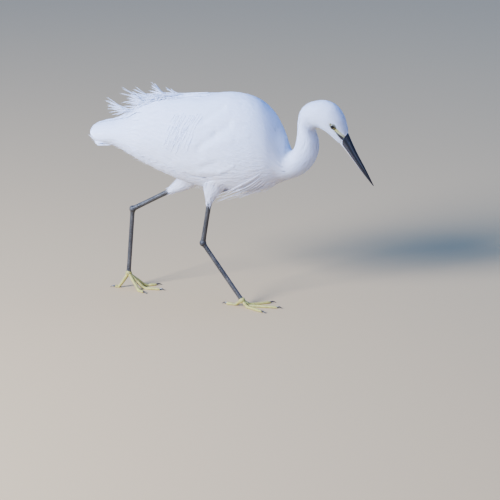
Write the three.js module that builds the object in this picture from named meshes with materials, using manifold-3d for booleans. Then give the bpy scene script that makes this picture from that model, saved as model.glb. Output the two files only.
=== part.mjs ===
// Little egret, life size, wading with its head held forward and its bill pointing down at the water.
// Millimetres, +X the way the bird walks, +Y its left, +Z up. The floor is z = 0.
import * as THREE from 'three';
import Module from 'manifold-3d';

const wasm = await Module();
wasm.setup();

// Driving sizes
const GAP = 0.3; // clearance between two sub-parts that touch
const COAT = 7; // depth of the folded wing and mantle over the trunk
const TIERS = 4; // depth of the tiers of feathers over the wing's core
const VANE_THICK = 0.6;
const VANE_TILT = 1.9; // rise of a vane's lower edge over its upper one
const TARSUS = 98; // ankle to toe joint
const EYE_RADIUS = 5;
const HIP_Y = 22; // each leg stands this far from the middle
const SEED = 11;

// The outline of the whole bird in side view, from wing tip to bill. Each station has a point on the back
// line, a point on the belly line, both as [x, z], and the half width across the bird between them.
const STATIONS = [
  { back: [-213, 243], belly: [-213, 236], half: 7 },
  { back: [-206, 251], belly: [-206, 227], half: 17 },
  { back: [-191, 256], belly: [-191, 222], half: 22.5 },
  { back: [-171, 261], belly: [-171, 220], half: 26 },
  { back: [-150, 269], belly: [-150, 210], half: 31 },
  { back: [-125, 285], belly: [-125, 197], half: 38 },
  { back: [-95, 296], belly: [-95, 185], half: 45 },
  { back: [-60, 301], belly: [-62, 173], half: 50 },
  { back: [-20, 304.5], belly: [-25, 166], half: 52 },
  { back: [18, 305], belly: [15, 164], half: 51 },
  { back: [46, 297.5], belly: [45, 168.5], half: 45.5 },
  { back: [66, 280.5], belly: [66, 176], half: 37.5 },
  { back: [78, 256.5], belly: [79, 181.5], half: 29 },
  { back: [86.5, 230.5], belly: [90, 185.5], half: 23 },
  { back: [94, 226.5], belly: [103, 190], half: 20.5 },
  { back: [100.5, 232.5], belly: [115.5, 198], half: 19 },
  { back: [104, 242], belly: [126, 209.5], half: 17 },
  { back: [105.8, 253], belly: [133.5, 225], half: 15.8 },
  { back: [106.8, 263], belly: [134.8, 241], half: 14.8 },
  { back: [108, 273.5], belly: [131.5, 253], half: 13.8 },
  { back: [111.5, 284.5], belly: [130.5, 258.5], half: 13.5 },
  { back: [120, 294], belly: [133, 261.5], half: 14.5 },
  { back: [133, 299.5], belly: [137, 262.5], half: 16 },
  { back: [149, 301], belly: [142, 261], half: 16.5 },
  { back: [164.5, 295], belly: [149.5, 256.5], half: 15.5 },
  { back: [174.5, 282], belly: [157.5, 250], half: 13 },
  { back: [179, 267], belly: [164.5, 243.5], half: 10 },
  { back: [180.5, 256], belly: [169.5, 239.5], half: 7.5 },
];
const RUMP = 2.2; // station where the trunk ends over the tail
const SHOULDER = 11.3; // front edge of the folded wing
const NECK_ROOT = 13;
const NECK_LOW_CUT = 15.4;
const NECK_HIGH_CUT = 18.4;
const NAPE = 20.6;
const BILL_ROOT = STATIONS.length - 1;

const backLine = new THREE.SplineCurve(STATIONS.map((s) => new THREE.Vector2(...s.back)));
const bellyLine = new THREE.SplineCurve(STATIONS.map((s) => new THREE.Vector2(...s.belly)));
const halfWidth = new THREE.SplineCurve(STATIONS.map((s, i) => new THREE.Vector2(i, s.half)));

// Small helpers
const deg = THREE.MathUtils.degToRad;
const lerp = THREE.MathUtils.lerp;
const smoothstep = THREE.MathUtils.smoothstep;
const vec = (x, y, z) => new THREE.Vector3(x, y, z);
const random = (() => {
  let state = SEED;
  return () => {
    state = (state * 16807) % 2147483647;
    return state / 2147483647;
  };
})();
const vary = (size, share) => size * (1 + share * (2 * random() - 1));
const steps = (count) => Array.from({ length: count }, (_, i) => i / (count - 1));

// A closed solid from points and triangles, with its faces turned outwards.
function solidFrom(points, triangles) {
  const build = (faces) =>
    new wasm.Manifold(
      new wasm.Mesh({
        numProp: 3,
        vertProperties: new Float32Array(points.flatMap((p) => [p.x, p.y, p.z])),
        triVerts: new Uint32Array(faces.flat()),
      }),
    );
  const made = build(triangles);
  return made.volume() > 0 ? made : build(triangles.map(([a, b, c]) => [a, c, b]));
}

// A closed solid through rings of points, each end closed by a fan round its middle.
function loft(rings) {
  const sides = rings[0].length;
  const points = rings.flat();
  const triangles = [];
  for (let i = 0; i + 1 < rings.length; i++)
    for (let j = 0; j < sides; j++) {
      const a = i * sides + j;
      const b = i * sides + ((j + 1) % sides);
      triangles.push([a, b, b + sides], [a, b + sides, a + sides]);
    }
  for (const end of [0, rings.length - 1]) {
    const centre = rings[end].reduce((sum, p) => sum.add(p), vec(0, 0, 0)).divideScalar(sides);
    const middle = points.push(centre) - 1;
    for (let j = 0; j < sides; j++) {
      const a = end * sides + j;
      const b = end * sides + ((j + 1) % sides);
      triangles.push(end ? [a, b, middle] : [b, a, middle]);
    }
  }
  return solidFrom(points, triangles);
}

// A thin closed plate: place(row, column, side) gives its two faces, which are split into triangles alike.
function plate(rows, columns, place) {
  const points = [];
  for (const side of [1, -1])
    for (let i = 0; i < rows; i++) for (let j = 0; j < columns; j++) points.push(place(i, j, side));
  const at = (i, j, face) => face * rows * columns + i * columns + j;
  const triangles = [];
  for (let i = 0; i + 1 < rows; i++)
    for (let j = 0; j + 1 < columns; j++)
      for (const face of [0, 1]) {
        const [a, b, c, d] = [at(i, j, face), at(i + 1, j, face), at(i + 1, j + 1, face), at(i, j + 1, face)];
        triangles.push(...(face ? [[a, c, b], [a, d, c]] : [[a, b, c], [a, c, d]]));
      }
  const rim = [];
  for (let j = 0; j + 1 < columns; j++) rim.push([0, j]);
  for (let i = 0; i + 1 < rows; i++) rim.push([i, columns - 1]);
  for (let j = columns - 1; j > 0; j--) rim.push([rows - 1, j]);
  for (let i = rows - 1; i > 0; i--) rim.push([i, 0]);
  rim.forEach(([i, j], n) => {
    const [k, l] = rim[(n + 1) % rim.length];
    triangles.push([at(i, j, 0), at(k, l, 0), at(k, l, 1)], [at(i, j, 0), at(k, l, 1), at(i, j, 1)]);
  });
  return solidFrom(points, triangles);
}

// A tube along a curve. Its radius is radiusAt(share of the length), and flatten squeezes it in side view.
function tube(curve, radiusAt, { ringCount = 8, sides = 10, flatten = 1 } = {}) {
  return loft(
    steps(ringCount).map((t) => {
      const centre = curve.getPoint(t);
      const along = curve.getTangent(t);
      const across = vec(0, 1, 0).cross(along).normalize();
      const side = along.clone().cross(across).normalize();
      return Array.from({ length: sides }, (_, j) => {
        const turn = (2 * Math.PI * j) / sides;
        return centre
          .clone()
          .addScaledVector(across, radiusAt(t) * Math.cos(turn))
          .addScaledVector(side, radiusAt(t) * flatten * Math.sin(turn));
      });
    }),
  );
}

const joined = (solids) => wasm.Manifold.union(solids);

// The largest closed surface of a solid: drops loose scraps and fills a sealed hollow.
function largest(solid) {
  return solid.decompose().sort((a, b) => b.volume() - a.volume())[0];
}

// The back point and the belly point of the outline at a station.
function ends(station) {
  const t = station / BILL_ROOT;
  return [backLine.getPoint(t), bellyLine.getPoint(t)];
}

// Outline of the bird as a surface: station number, angle round from the back line, and a distance outwards.
function outline(station, angle, grow = 0, shift = 0) {
  const t = station / BILL_ROOT;
  const [back, belly] = ends(station);
  const half = halfWidth.getPoint(t).y + grow;
  const up = back.clone().sub(belly);
  const height = up.length() / 2 + grow;
  up.normalize();
  const reach = height * Math.cos(angle);
  return vec(
    (back.x + belly.x) / 2 + up.x * reach + up.y * shift,
    half * Math.sin(angle),
    (back.y + belly.y) / 2 + up.y * reach - up.x * shift,
  );
}

// The direction straight out of the outline at a point.
function outwards(station, angle) {
  const near = 0.02;
  const along = outline(station - near, angle).sub(outline(station + near, angle));
  const round = outline(station, angle + near).sub(outline(station, angle - near));
  return round.cross(along).normalize();
}

// Where a point of the side view, [x, z], lies on the outline between two stations, as [station, angle].
function placeOnOutline([x, z], from, to) {
  let [low, high] = [from, to];
  for (let i = 0; i < 24; i++) {
    const middle = (low + high) / 2;
    const [back, belly] = ends(middle);
    const isAhead = (x - belly.x) * (back.y - belly.y) > (z - belly.y) * (back.x - belly.x);
    if (isAhead) low = middle;
    else high = middle;
  }
  const [back, belly] = ends(low);
  const share = new THREE.Vector2(x, z).distanceTo(belly) / back.distanceTo(belly);
  return [low, Math.acos(THREE.MathUtils.clamp(2 * share - 1, -1, 1))];
}

// A point on the bird's flank over [x, z] of the side view, pushed out by lift. side is 1 for the left.
function flank(side, place, from, to, lift = 0) {
  const point = outline(...placeOnOutline(place, from, to), lift);
  return point.setY(side * point.y);
}

// How deep the trunk lies under the outline, where the folded wings and the mantle cover it.
function coatDepth(station, angle) {
  const alongTrunk = 1 - smoothstep(station, 10.2, 12);
  const roundTrunk = 1 - smoothstep(Math.abs(angle), deg(118), deg(142));
  return COAT * alongTrunk * roundTrunk;
}

// Rings of the outline between two stations, moved along by GAP at the first where another piece ends there.
function bodyRings(from, to, ringCount, sides, growAt = () => 0, shift = 0) {
  return steps(ringCount).map((t, i) =>
    Array.from({ length: sides }, (_, j) => {
      const station = lerp(from, to, t);
      const angle = (2 * Math.PI * j) / sides;
      const turned = angle > Math.PI ? angle - 2 * Math.PI : angle;
      return outline(station, turned, growAt(station, turned), i === 0 ? shift : 0);
    }),
  );
}

// Trunk
const trunkShape = (grow) =>
  loft(bodyRings(RUMP, NECK_ROOT, 18, 20, (station, angle) => grow - coatDepth(station, angle)));
const trunkGrown = trunkShape(GAP);

// A flat tapered strand along a curve, with its broad face towards facing.
const LOCK = { rows: 6, thick: 0.6, tipThick: 0.35, tipShare: 0.2 };
function lock(curve, width, facing) {
  return plate(LOCK.rows, 2, (i, j, face) => {
    const t = i / (LOCK.rows - 1);
    const along = curve.getTangent(t);
    const across = along.clone().cross(facing).normalize();
    const out = across.clone().cross(along);
    const half = (width * lerp(1, LOCK.tipShare, smoothstep(t, 0.35, 1))) / 2;
    const thick = lerp(LOCK.thick, LOCK.tipThick, t);
    return curve
      .getPoint(t)
      .addScaledVector(across, j ? half : -half)
      .addScaledVector(out, (face * thick) / 2);
  });
}

// Breast plumes: narrow strands that leave the breast and hang back under the belly.
const STRANDS = 7;
const STRAND_WIDTH = 2.6;
function breastPlumes(side) {
  return steps(STRANDS).map((u) => {
    const root = [lerp(80, 66, u), lerp(203, 186, u)];
    const tip = vec(lerp(-17, 30, u ** 1.3), side * lerp(20, 14, u), vary(lerp(153, 162, u), 0.008));
    const onFlank = (share, lift) =>
      flank(side, [lerp(root[0], tip.x, share), lerp(root[1], tip.z, share)], 8, NECK_ROOT, lift);
    const clear = onFlank(0.45, 1);
    const curve = new THREE.CatmullRomCurve3([
      onFlank(0, -2.5),
      onFlank(0.12, 0.7),
      onFlank(0.3, 1),
      clear,
      clear.clone().lerp(tip, 0.5).add(vec(0, side * 0.8, -0.6)),
      tip,
    ]);
    return lock(curve, vary(STRAND_WIDTH, 0.15), vec(0, side, -0.35));
  });
}

function trunk() {
  const plumes = [1, -1].flatMap(breastPlumes);
  return largest(joined([trunkShape(0), ...plumes]).subtract(tailSlot()));
}

// Neck, in three lengths along its bend
const neckBase = loft(bodyRings(NECK_ROOT, NECK_LOW_CUT, 6, 20, undefined, GAP));
const neckMiddle = loft(bodyRings(NECK_LOW_CUT, NECK_HIGH_CUT, 7, 20, undefined, GAP));
const neckTop = loft(bodyRings(NECK_HIGH_CUT, NAPE, 6, 20, undefined, GAP));

// Head, with eye sockets, lids and the line of the mouth
const EYE = [163, 268.2];
const EYE_DEPTH = EYE_RADIUS - 1.1; // how far the eyeball's middle lies under the cheek
const LID = { long: 5.4, high: 3.7, radius: 1, points: 12, sides: 5 };
const BILL_DIRECTION = new THREE.Vector2(0.56, -0.83);
const GAPE = [
  [176.2, 248.2],
  [171, 253.3],
  [166, 258.4],
  [161.5, 262.6],
];
const GAPE_RADIUS = 0.8;
const onHead = (side, place, lift = 0) => flank(side, place, NAPE, BILL_ROOT, lift);

function eyeMiddle(side) {
  const cheek = onHead(side, EYE);
  return cheek.setY(cheek.y - side * EYE_DEPTH);
}
const eye = (side) => ball(eyeMiddle(side), EYE_RADIUS);

function head() {
  const skull = loft(bodyRings(NAPE, BILL_ROOT, 12, 20, undefined, GAP));
  const cuts = [1, -1].flatMap((side) => {
    const gape = new THREE.CatmullRomCurve3(GAPE.map((place) => onHead(side, place)));
    const mouthLine = tube(gape, () => GAPE_RADIUS, { ringCount: 5, sides: 5 });
    return [ball(eyeMiddle(side), EYE_RADIUS + GAP), mouthLine];
  });
  return largest(joined([skull, lids(1), lids(-1)]).subtract(joined(cuts)));
}

// The lids of one eye: an oval rim that follows the cheek.
function lids(side) {
  const { sides } = LID;
  const rim = Array.from({ length: LID.points }, (_, i) => {
    const turn = (2 * Math.PI * i) / LID.points;
    const [forward, up] = [LID.long * Math.cos(turn), LID.high * Math.sin(turn)];
    const { x, y } = BILL_DIRECTION;
    const away = vec(x * forward - y * up, 0, y * forward + x * up);
    return { away: away.clone().normalize(), middle: onHead(side, [EYE[0] + away.x, EYE[1] + away.z]) };
  });
  const points = rim.flatMap(({ away, middle }) =>
    Array.from({ length: sides }, (_, j) => {
      const turn = (2 * Math.PI * j) / sides;
      const out = vec(0, side * LID.radius * Math.sin(turn), 0);
      return middle.clone().addScaledVector(away, LID.radius * Math.cos(turn)).add(out);
    }),
  );
  const at = (i, j) => (i % LID.points) * sides + (j % sides);
  const triangles = rim.flatMap((_, i) =>
    Array.from({ length: sides }, (_, j) => [
      [at(i, j), at(i, j + 1), at(i + 1, j + 1)],
      [at(i, j), at(i + 1, j + 1), at(i + 1, j)],
    ]).flat(),
  );
  return solidFrom(points, triangles);
}

function ball(centre, radius, segments = 14) {
  const rings = steps(segments / 2 + 1)
    .slice(1, -1)
    .map((t) =>
      Array.from({ length: segments }, (_, j) => {
        const turn = (2 * Math.PI * j) / segments;
        const level = Math.PI * t;
        return vec(
          centre.x + radius * Math.sin(level) * Math.cos(turn),
          centre.y + radius * Math.cos(level),
          centre.z + radius * Math.sin(level) * Math.sin(turn),
        );
      }),
    );
  return loft(rings);
}

// Bill: two mandibles that meet along the line of the mouth, and taper to one point.
const sideCurve = (...places) => new THREE.SplineCurve(places.map((p) => new THREE.Vector2(...p)));
const CULMEN = sideCurve([180.7, 255.4], [190.5, 232], [203.7, 206], [214.6, 182.6]);
const GONYS = sideCurve([170.1, 238.9], [183.5, 221], [196.8, 203], [213.8, 182.2]);
const MOUTH = 0.48; // share of the bill's depth that is upper mandible
const BILL_HALF = { root: 7, tip: 0.7 };
const NOSTRIL = { from: [181.6, 5.7, 246.5], to: [186.4, 5, 235.5], radius: 0.9 };
function mandible(edge) {
  const sides = 7;
  const rings = steps(9).map((t) => {
    const mouth = CULMEN.getPoint(t).lerp(GONYS.getPoint(t), MOUTH);
    const away = edge.getPoint(t).sub(mouth);
    const start = mouth.addScaledVector(away.clone().normalize(), GAP / 2);
    const half = lerp(BILL_HALF.root, BILL_HALF.tip, t ** 0.8);
    const forward = BILL_DIRECTION.clone().multiplyScalar(t === 0 ? GAP : 0);
    return Array.from({ length: sides }, (_, j) => {
      const turn = (Math.PI * j) / (sides - 1);
      const rise = Math.sin(turn) ** 0.9;
      const place = start.clone().add(forward).addScaledVector(away, 0.97 * rise);
      return vec(place.x, half * Math.cos(turn) * (1 - 0.25 * rise), place.y);
    });
  });
  return loft(rings);
}
function upperMandible() {
  const nostrils = [1, -1].map((side) => {
    const [from, to] = [NOSTRIL.from, NOSTRIL.to].map(([x, y, z]) => vec(x, side * y, z));
    const radiusAt = (t) => NOSTRIL.radius * Math.sin(Math.PI * lerp(0.15, 0.85, t));
    return tube(new THREE.LineCurve3(from, to), radiusAt, { ringCount: 5, sides: 6 });
  });
  return largest(mandible(CULMEN).subtract(joined(nostrils)));
}

// Feathers. A vane is a flat plate along the outline from its root to its tip, each [station, angle].
// spread is its width as an angle round the bird, and widen the share by which that grows to the tip. rise is
// its height over the outline at the root and the tip. Its lower edge stands out over the next vane by tilt.
function vane(side, { from, to, spread, rise, widen = 1, tilt = VANE_TILT, rows = 4 }) {
  return plate(rows, 2, (i, j, face) => {
    const t = 1 - (1 - i / (rows - 1)) ** 1.6;
    const edge = j ? 1 : -1;
    const half = (spread * lerp(1, widen, t) * vaneShape(t)) / 2;
    const place = [lerp(from[0], to[0], t), lerp(from[1], to[1], t) + edge * half];
    const lean = edge * tilt * lerp(0.4, 1, smoothstep(t, 0, 0.3));
    const height = lerp(rise[0], rise[1], t) + (lean + face * VANE_THICK) / 2;
    const point = outline(...place).addScaledVector(outwards(...place), height);
    return point.setY(side * point.y);
  });
}
// The width of a feather along it, from a narrower root to a rounded tip.
function vaneShape(t) {
  return lerp(0.7, 1, smoothstep(t, 0, 0.35)) * Math.sqrt(1 - 0.92 * smoothstep(t, 0.55, 1) ** 2);
}

// A tier of vanes side by side. Each pair is the size of the vane nearest the back and of the lowest one.
function tier(side, { count, root, tip, rootAngle, tipAngle, overlap = 1.25, ...rest }) {
  const pitch = deg(rootAngle[1] - rootAngle[0]) / (count - 1);
  return steps(count).map((u) =>
    vane(side, {
      from: [lerp(...root, u), deg(lerp(...rootAngle, u))],
      to: [lerp(...tip, u) + 0.08 * (random() - 0.5), deg(lerp(...tipAngle, u))],
      spread: vary(pitch * overlap, 0.03),
      ...rest,
    }),
  );
}

// Folded wing: a core over the trunk, with its primaries, secondaries and two tiers of coverts.
const WING_TIERS = {
  primaries: {
    count: 3,
    root: [3.9, 4.3],
    tip: [0.2, 1.5],
    rootAngle: [76, 108],
    tipAngle: [44, 84],
    rise: [-5.2, -3.5],
    tilt: 0.9,
    widen: 1.3,
  },
  secondaries: {
    count: 7,
    root: [6.2, 8.4],
    tip: [0.25, 3.6],
    rootAngle: [29, 111],
    tipAngle: [8, 98],
    rise: [-4.8, -1.5],
    widen: 1.5,
  },
  greaterCoverts: {
    count: 7,
    root: [7.4, 9.2],
    tip: [5.2, 7.2],
    rootAngle: [31, 110],
    tipAngle: [29, 106],
    rise: [-4.8, -1.4],
  },
  medianCoverts: {
    count: 7,
    root: [8.9, 10.4],
    tip: [6.9, 8.6],
    rootAngle: [31, 106],
    tipAngle: [30, 106],
    rise: [-4.6, -1.3],
  },
};
const mantleEdge = (station) => deg(lerp(2, 22, smoothstep(station, 4, 5.8)));
const lowerEdge = (station) =>
  deg(lerp(96, 121, smoothstep(station, 0, 6.5))) - deg(38) * smoothstep(station, 9, SHOULDER);
const underTiers = (station) => TIERS * (1 - smoothstep(station, 8.8, SHOULDER));

function wing(side) {
  const [rows, columns] = [11, 6];
  const core = plate(rows, columns, (i, j, face) => {
    const station = lerp(2.8, SHOULDER, i / (rows - 1));
    const angle = lerp(mantleEdge(station), lowerEdge(station), j / (columns - 1));
    const depth = lerp(TIERS + 2, COAT + 1.5, smoothstep(station, 3, 4));
    const point = outline(station, angle, face > 0 ? -underTiers(station) : -depth);
    return point.setY(side * point.y);
  });
  const feathers = Object.values(WING_TIERS).flatMap((sizes) => tier(side, sizes));
  const solid = joined([core, ...feathers]).subtract(joined([trunkGrown, saddle(GAP)]));
  return largest(solid.trimByPlane([0, side, 0], GAP / 2));
}

// Mantle: the saddle of back feathers between the wings, with two tiers of scapulars and the long plumes.
const SADDLE_END = 4.3;
const SADDLE_UNDER = 1.8; // depth of the scapulars over the saddle
function saddle(grow) {
  const [rows, columns] = [9, 4];
  return plate(rows, columns, (i, j, face) => {
    const station = lerp(SADDLE_END - (grow ? 0.03 : 0), SHOULDER + (grow ? 0.1 : 0), i / (rows - 1));
    const half = halfWidth.getPoint(station / BILL_ROOT).y;
    const reach = mantleEdge(station) - (GAP - grow) / half;
    const cover = SADDLE_UNDER * (1 - smoothstep(station, 9.2, SHOULDER));
    const height = face > 0 ? grow * 3 - cover : -(COAT + 1.5);
    return outline(station, lerp(-reach, reach, j / (columns - 1)), height);
  });
}
const SCAPULARS = { count: 2, rootAngle: [5.5, 15.5], tipAngle: [5.5, 15.5], tilt: 1.3, overlap: 1.15 };
const SCAPULAR_TIERS = [
  { ...SCAPULARS, root: [7.6, 7.8], tip: [5.1, 5.5], rise: [-3.2, -0.9] },
  { ...SCAPULARS, root: [9.5, 9.7], tip: [7, 7.5], rise: [-3, -0.8] },
];
function mantle() {
  const scapulars = [1, -1].flatMap((side) => SCAPULAR_TIERS.flatMap((sizes) => tier(side, sizes)));
  return largest(joined([saddle(0), ...scapulars, ...PLUMES.map(plume)]).subtract(trunkGrown));
}

// Long back plumes: a shaft that lies along the back and then curls up, with loose barbs trailing behind it.
// root and lies are places along X where it leaves the back and lies on it, free the [x, z] of the rest of it,
// and reach the length of its first and last barbs.
const PLUMES = [
  {
    y: -7,
    root: -24,
    lies: [-46, -72],
    free: [[-88, 298.6], [-96, 301], [-102.5, 307], [-109.2, 314.7]],
    reach: [24, 9],
  },
  {
    y: 8,
    root: -30,
    lies: [-52, -86],
    free: [[-112.5, 288.5], [-125, 291], [-137.7, 295.4], [-150.2, 300.7]],
    reach: [26, 10],
  },
  {
    y: -2,
    root: -36,
    lies: [-58, -92],
    free: [[-116.5, 287], [-130, 290.5], [-144.2, 295.6], [-158.2, 300.1]],
    reach: [26, 10],
  },
  {
    y: 3,
    root: -42,
    lies: [-64, -104],
    free: [[-142, 275], [-156, 271], [-169.6, 274.3], [-188.5, 283.1]],
    reach: [22, 9],
  },
];
const SHAFT = { root: 1.6, tip: 0.7, thick: 0.8, sunk: 3, bareRings: 7, barbs: 12, barbsFrom: 0.5 };
const BARB = { middle: 0.45, waist: 0.55, bow: 0.09, clear: 1.4 };
const backHeight = (x) => ends(placeOnOutline([x, 300], 0, NECK_ROOT)[0])[0].y;

function shaftCurve({ y, root, lies, free }) {
  const lying = lies.map((x) => vec(x, y, backHeight(x) + 0.9));
  const rising = free.map(([x, z]) => vec(x, y, z));
  const sunk = vec(root, y, backHeight(root) - SHAFT.sunk);
  return new THREE.CatmullRomCurve3([sunk, ...lying, ...rising], false, 'centripetal');
}

// Where the barb that starts on the shaft's side at a share u of the barbed part has its tip.
function barbTip(start, side, u, reach) {
  const length = vary(lerp(...reach, u), 0.15);
  const fall = lerp(0.6, 0.1, u) + 0.15 * random();
  const aside = side * length * lerp(0.12, 0.32, random());
  const tip = start.clone().add(vec(-length * Math.cos(fall), aside, -length * Math.sin(fall)));
  return tip.setZ(Math.max(tip.z, backHeight(tip.x) + BARB.clear));
}

function plume(sizes) {
  const shaft = shaftCurve(sizes);
  const bare = steps(SHAFT.bareRings).map((t) => t * SHAFT.barbsFrom);
  const barbed = steps(SHAFT.barbs + 1).slice(1);
  const places = [...bare, ...barbed.map((t) => lerp(SHAFT.barbsFrom, 1, t))];
  const points = places.flatMap((t) => {
    const up = vec(0, 1, 0).cross(shaft.getTangent(t));
    const half = lerp(SHAFT.root, SHAFT.tip, t) / 2;
    const thick = (SHAFT.thick / 2) * lerp(1, 0.6, t);
    const corner = ([across, out]) =>
      shaft.getPoint(t).add(vec(0, across * half, 0)).addScaledVector(up, out * thick);
    return [[-1, -1], [-1, 1], [1, 1], [1, -1]].map(corner);
  });
  const triangles = [];
  const quad = (a, b, c, d) => triangles.push([a, b, c], [a, c, d]);
  const last = (places.length - 1) * 4;
  quad(0, 1, 2, 3);
  quad(last + 3, last + 2, last + 1, last);

  // A barb: the quad on the shaft's side is drawn out over a narrower ring to a tip.
  const barb = (corners, side, u) => {
    const start = points[corners[0]].clone().add(points[corners[2]]).multiplyScalar(0.5);
    const end = barbTip(start, side, u, sizes.reach);
    const bow = vec(0, 0, BARB.bow * start.distanceTo(end));
    const middle = start.clone().lerp(end, BARB.middle).add(bow);
    const ring = points.length;
    for (const corner of corners)
      points.push(middle.clone().add(points[corner].clone().sub(start).multiplyScalar(BARB.waist)));
    const tip = points.push(end) - 1;
    corners.forEach((corner, n) => {
      const next = (n + 1) % corners.length;
      quad(corner, corners[next], ring + next, ring + n);
      triangles.push([ring + n, ring + next, tip]);
    });
  };
  for (let i = 0; i + 1 < places.length; i++)
    for (let j = 0; j < 4; j++) {
      const [a, b] = [i * 4 + j, i * 4 + ((j + 1) % 4)];
      const isFlank = j % 2 === 0;
      const u = (i + 1 - SHAFT.bareRings) / SHAFT.barbs;
      if (isFlank && u >= 0) barb([b, a, a + 4, b + 4], j ? 1 : -1, u);
      else quad(b, a, a + 4, b + 4);
    }
  return solidFrom(points, triangles);
}

// Tail: twelve feathers that fan out from a root block, each one under the next towards the middle.
const TAIL = {
  root: -160,
  block: -182,
  tip: -212,
  z: 231,
  feathers: 12,
  width: 9,
  blockHalf: 11,
  blockThick: 2.6,
  slotEnd: -196,
  slotHalf: 21,
  slotHigh: 5,
};
function tail() {
  const block = plate(2, 2, (i, j, face) => {
    const across = (j ? 1 : -1) * TAIL.blockHalf;
    return vec(i ? TAIL.block : TAIL.root, across, TAIL.z + TAIL.blockThick * face);
  });
  const feathers = steps(TAIL.feathers).map((u) => {
    const across = 2 * u - 1;
    const z = TAIL.z + 2.4 - 5.4 * Math.abs(across);
    const tip = vary(TAIL.tip + 5 * across ** 2, 0.002);
    return plate(5, 2, (i, j, face) => {
      const t = 1 - (1 - i / 4) ** 1.7;
      const edge = j ? 1 : -1;
      const middle = across * lerp(7, 16, t);
      const half = (TAIL.width * lerp(0.6, 1, smoothstep(t, 0, 0.5)) * vaneShape(t)) / 2;
      const height = lerp(TAIL.z, z, smoothstep(t, 0, 0.5)) - 0.25 * edge * Math.sign(across);
      return vec(lerp(TAIL.root - 3, tip, t), middle + edge * half, height + (face * VANE_THICK) / 2);
    });
  });
  return largest(joined([block, ...feathers]));
}

// The room that the tail takes in the rump.
function tailSlot() {
  return plate(2, 2, (i, j, face) => {
    const half = i ? TAIL.slotHalf : TAIL.blockHalf + GAP;
    const height = i ? TAIL.slotHigh : TAIL.blockThick + GAP;
    return vec(i ? TAIL.slotEnd : TAIL.root + GAP, (j ? 1 : -1) * half, TAIL.z + face * height);
  });
}

// Legs. The left leg trails and pushes off; the right one is planted ahead, its shank sloping forwards.
const LEGS = {
  left: {
    side: 1,
    hip: [-62, HIP_Y - 2, 182],
    knee: [-84, HIP_Y - 1, 164],
    sock: [-104, HIP_Y, 151.5],
    ankle: [-167.4, HIP_Y, 119.5],
    lean: vec(-0.14, 0, -0.99),
    thighRadius: [19, 11.5, 5.4],
  },
  right: {
    side: -1,
    hip: [-12, 2 - HIP_Y, 188],
    knee: [-21.5, 1 - HIP_Y, 166],
    sock: [-26.6, -HIP_Y, 148.5],
    ankle: [-40, -HIP_Y, 90],
    lean: vec(0.56, 0, -0.828),
    thighRadius: [20, 10.5, 5.2],
  },
};
const toeJoint = (leg) => vec(...leg.ankle).addScaledVector(leg.lean, TARSUS);
const ANKLE_RADIUS = 4.9;
const TOE_JOINT_RADIUS = 4.6;
const TARSUS_FLATTEN = 0.82;
const THIGH_SPARE = 3; // length past the hem that is trimmed square

function thigh({ hip, knee, sock, ankle, thighRadius }) {
  const hem = vec(...sock);
  const along = vec(...ankle).sub(hem).normalize();
  const low = hem.clone().addScaledVector(along, THIGH_SPARE);
  const curve = new THREE.CatmullRomCurve3([vec(...hip), vec(...knee), low]);
  const [wide, waist, narrow] = thighRadius;
  const radiusAt = (t) => (t < 0.5 ? lerp(wide, waist, t * 2) : lerp(waist, narrow, t * 2 - 1));
  const sleeve = tube(curve, radiusAt, { ringCount: 9, sides: 16, flatten: 0.85 }).subtract(trunkGrown);
  return largest(sleeve.trimByPlane(along.clone().negate().toArray(), -along.dot(hem)));
}

function tibia({ sock, ankle }) {
  const [top, low] = [vec(...sock), vec(...ankle)];
  const along = low.clone().sub(top).normalize();
  const start = top.clone().addScaledVector(along, GAP);
  const radiusAt = (t) => lerp(3.7, 3.3, Math.sin(Math.PI * t)) + 0.6 * smoothstep(t, 0.85, 1);
  const shaft = tube(new THREE.LineCurve3(start, low), radiusAt, { ringCount: 7 });
  return largest(joined([shaft, ball(low, ANKLE_RADIUS)]));
}

function tarsusShaft(leg, grow = 0) {
  const radiusAt = (t) => 3.2 + 1.1 * (1 - smoothstep(t, 0, 0.12)) + 0.9 * smoothstep(t, 0.9, 1) + grow;
  const line = new THREE.LineCurve3(vec(...leg.ankle), toeJoint(leg));
  return tube(line, radiusAt, { ringCount: 10, flatten: TARSUS_FLATTEN });
}
function tarsus(leg) {
  const ankle = ball(vec(...leg.ankle), ANKLE_RADIUS + GAP);
  const toes = ball(toeJoint(leg), TOE_JOINT_RADIUS + GAP);
  return largest(tarsusShaft(leg).subtract(joined([ankle, toes])));
}

// Toes: reach, turn from straight ahead towards the middle of the bird in degrees, and number of joints.
const TOES = {
  middle: { reach: 53, turn: 2, joints: 3 },
  inner: { reach: 41, turn: 32, joints: 2 },
  outer: { reach: 44, turn: -28, joints: 4 },
  hind: { reach: 27, turn: 172, joints: 1 },
};
const CLAW = 7.5;
const TOE_RADIUS = 2.3;
const SOLE = 1.5; // height of a toe's middle over its flat sole
const foot = (leg) => ball(toeJoint(leg), TOE_JOINT_RADIUS);

// A point along a toe, at a distance from the toe joint and a height over the floor.
function alongToe(leg, turn, distance, height) {
  const heading = deg(-leg.side * turn);
  const { x, y } = toeJoint(leg);
  return vec(x + distance * Math.cos(heading), y + distance * Math.sin(heading), height);
}

// How far a toe reaches over the floor, from a toe joint that stands above it.
function floorReach(leg, reach) {
  const drop = toeJoint(leg).z - TOE_RADIUS;
  return Math.sqrt(Math.max(reach ** 2 - drop ** 2, (0.8 * reach) ** 2));
}

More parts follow.
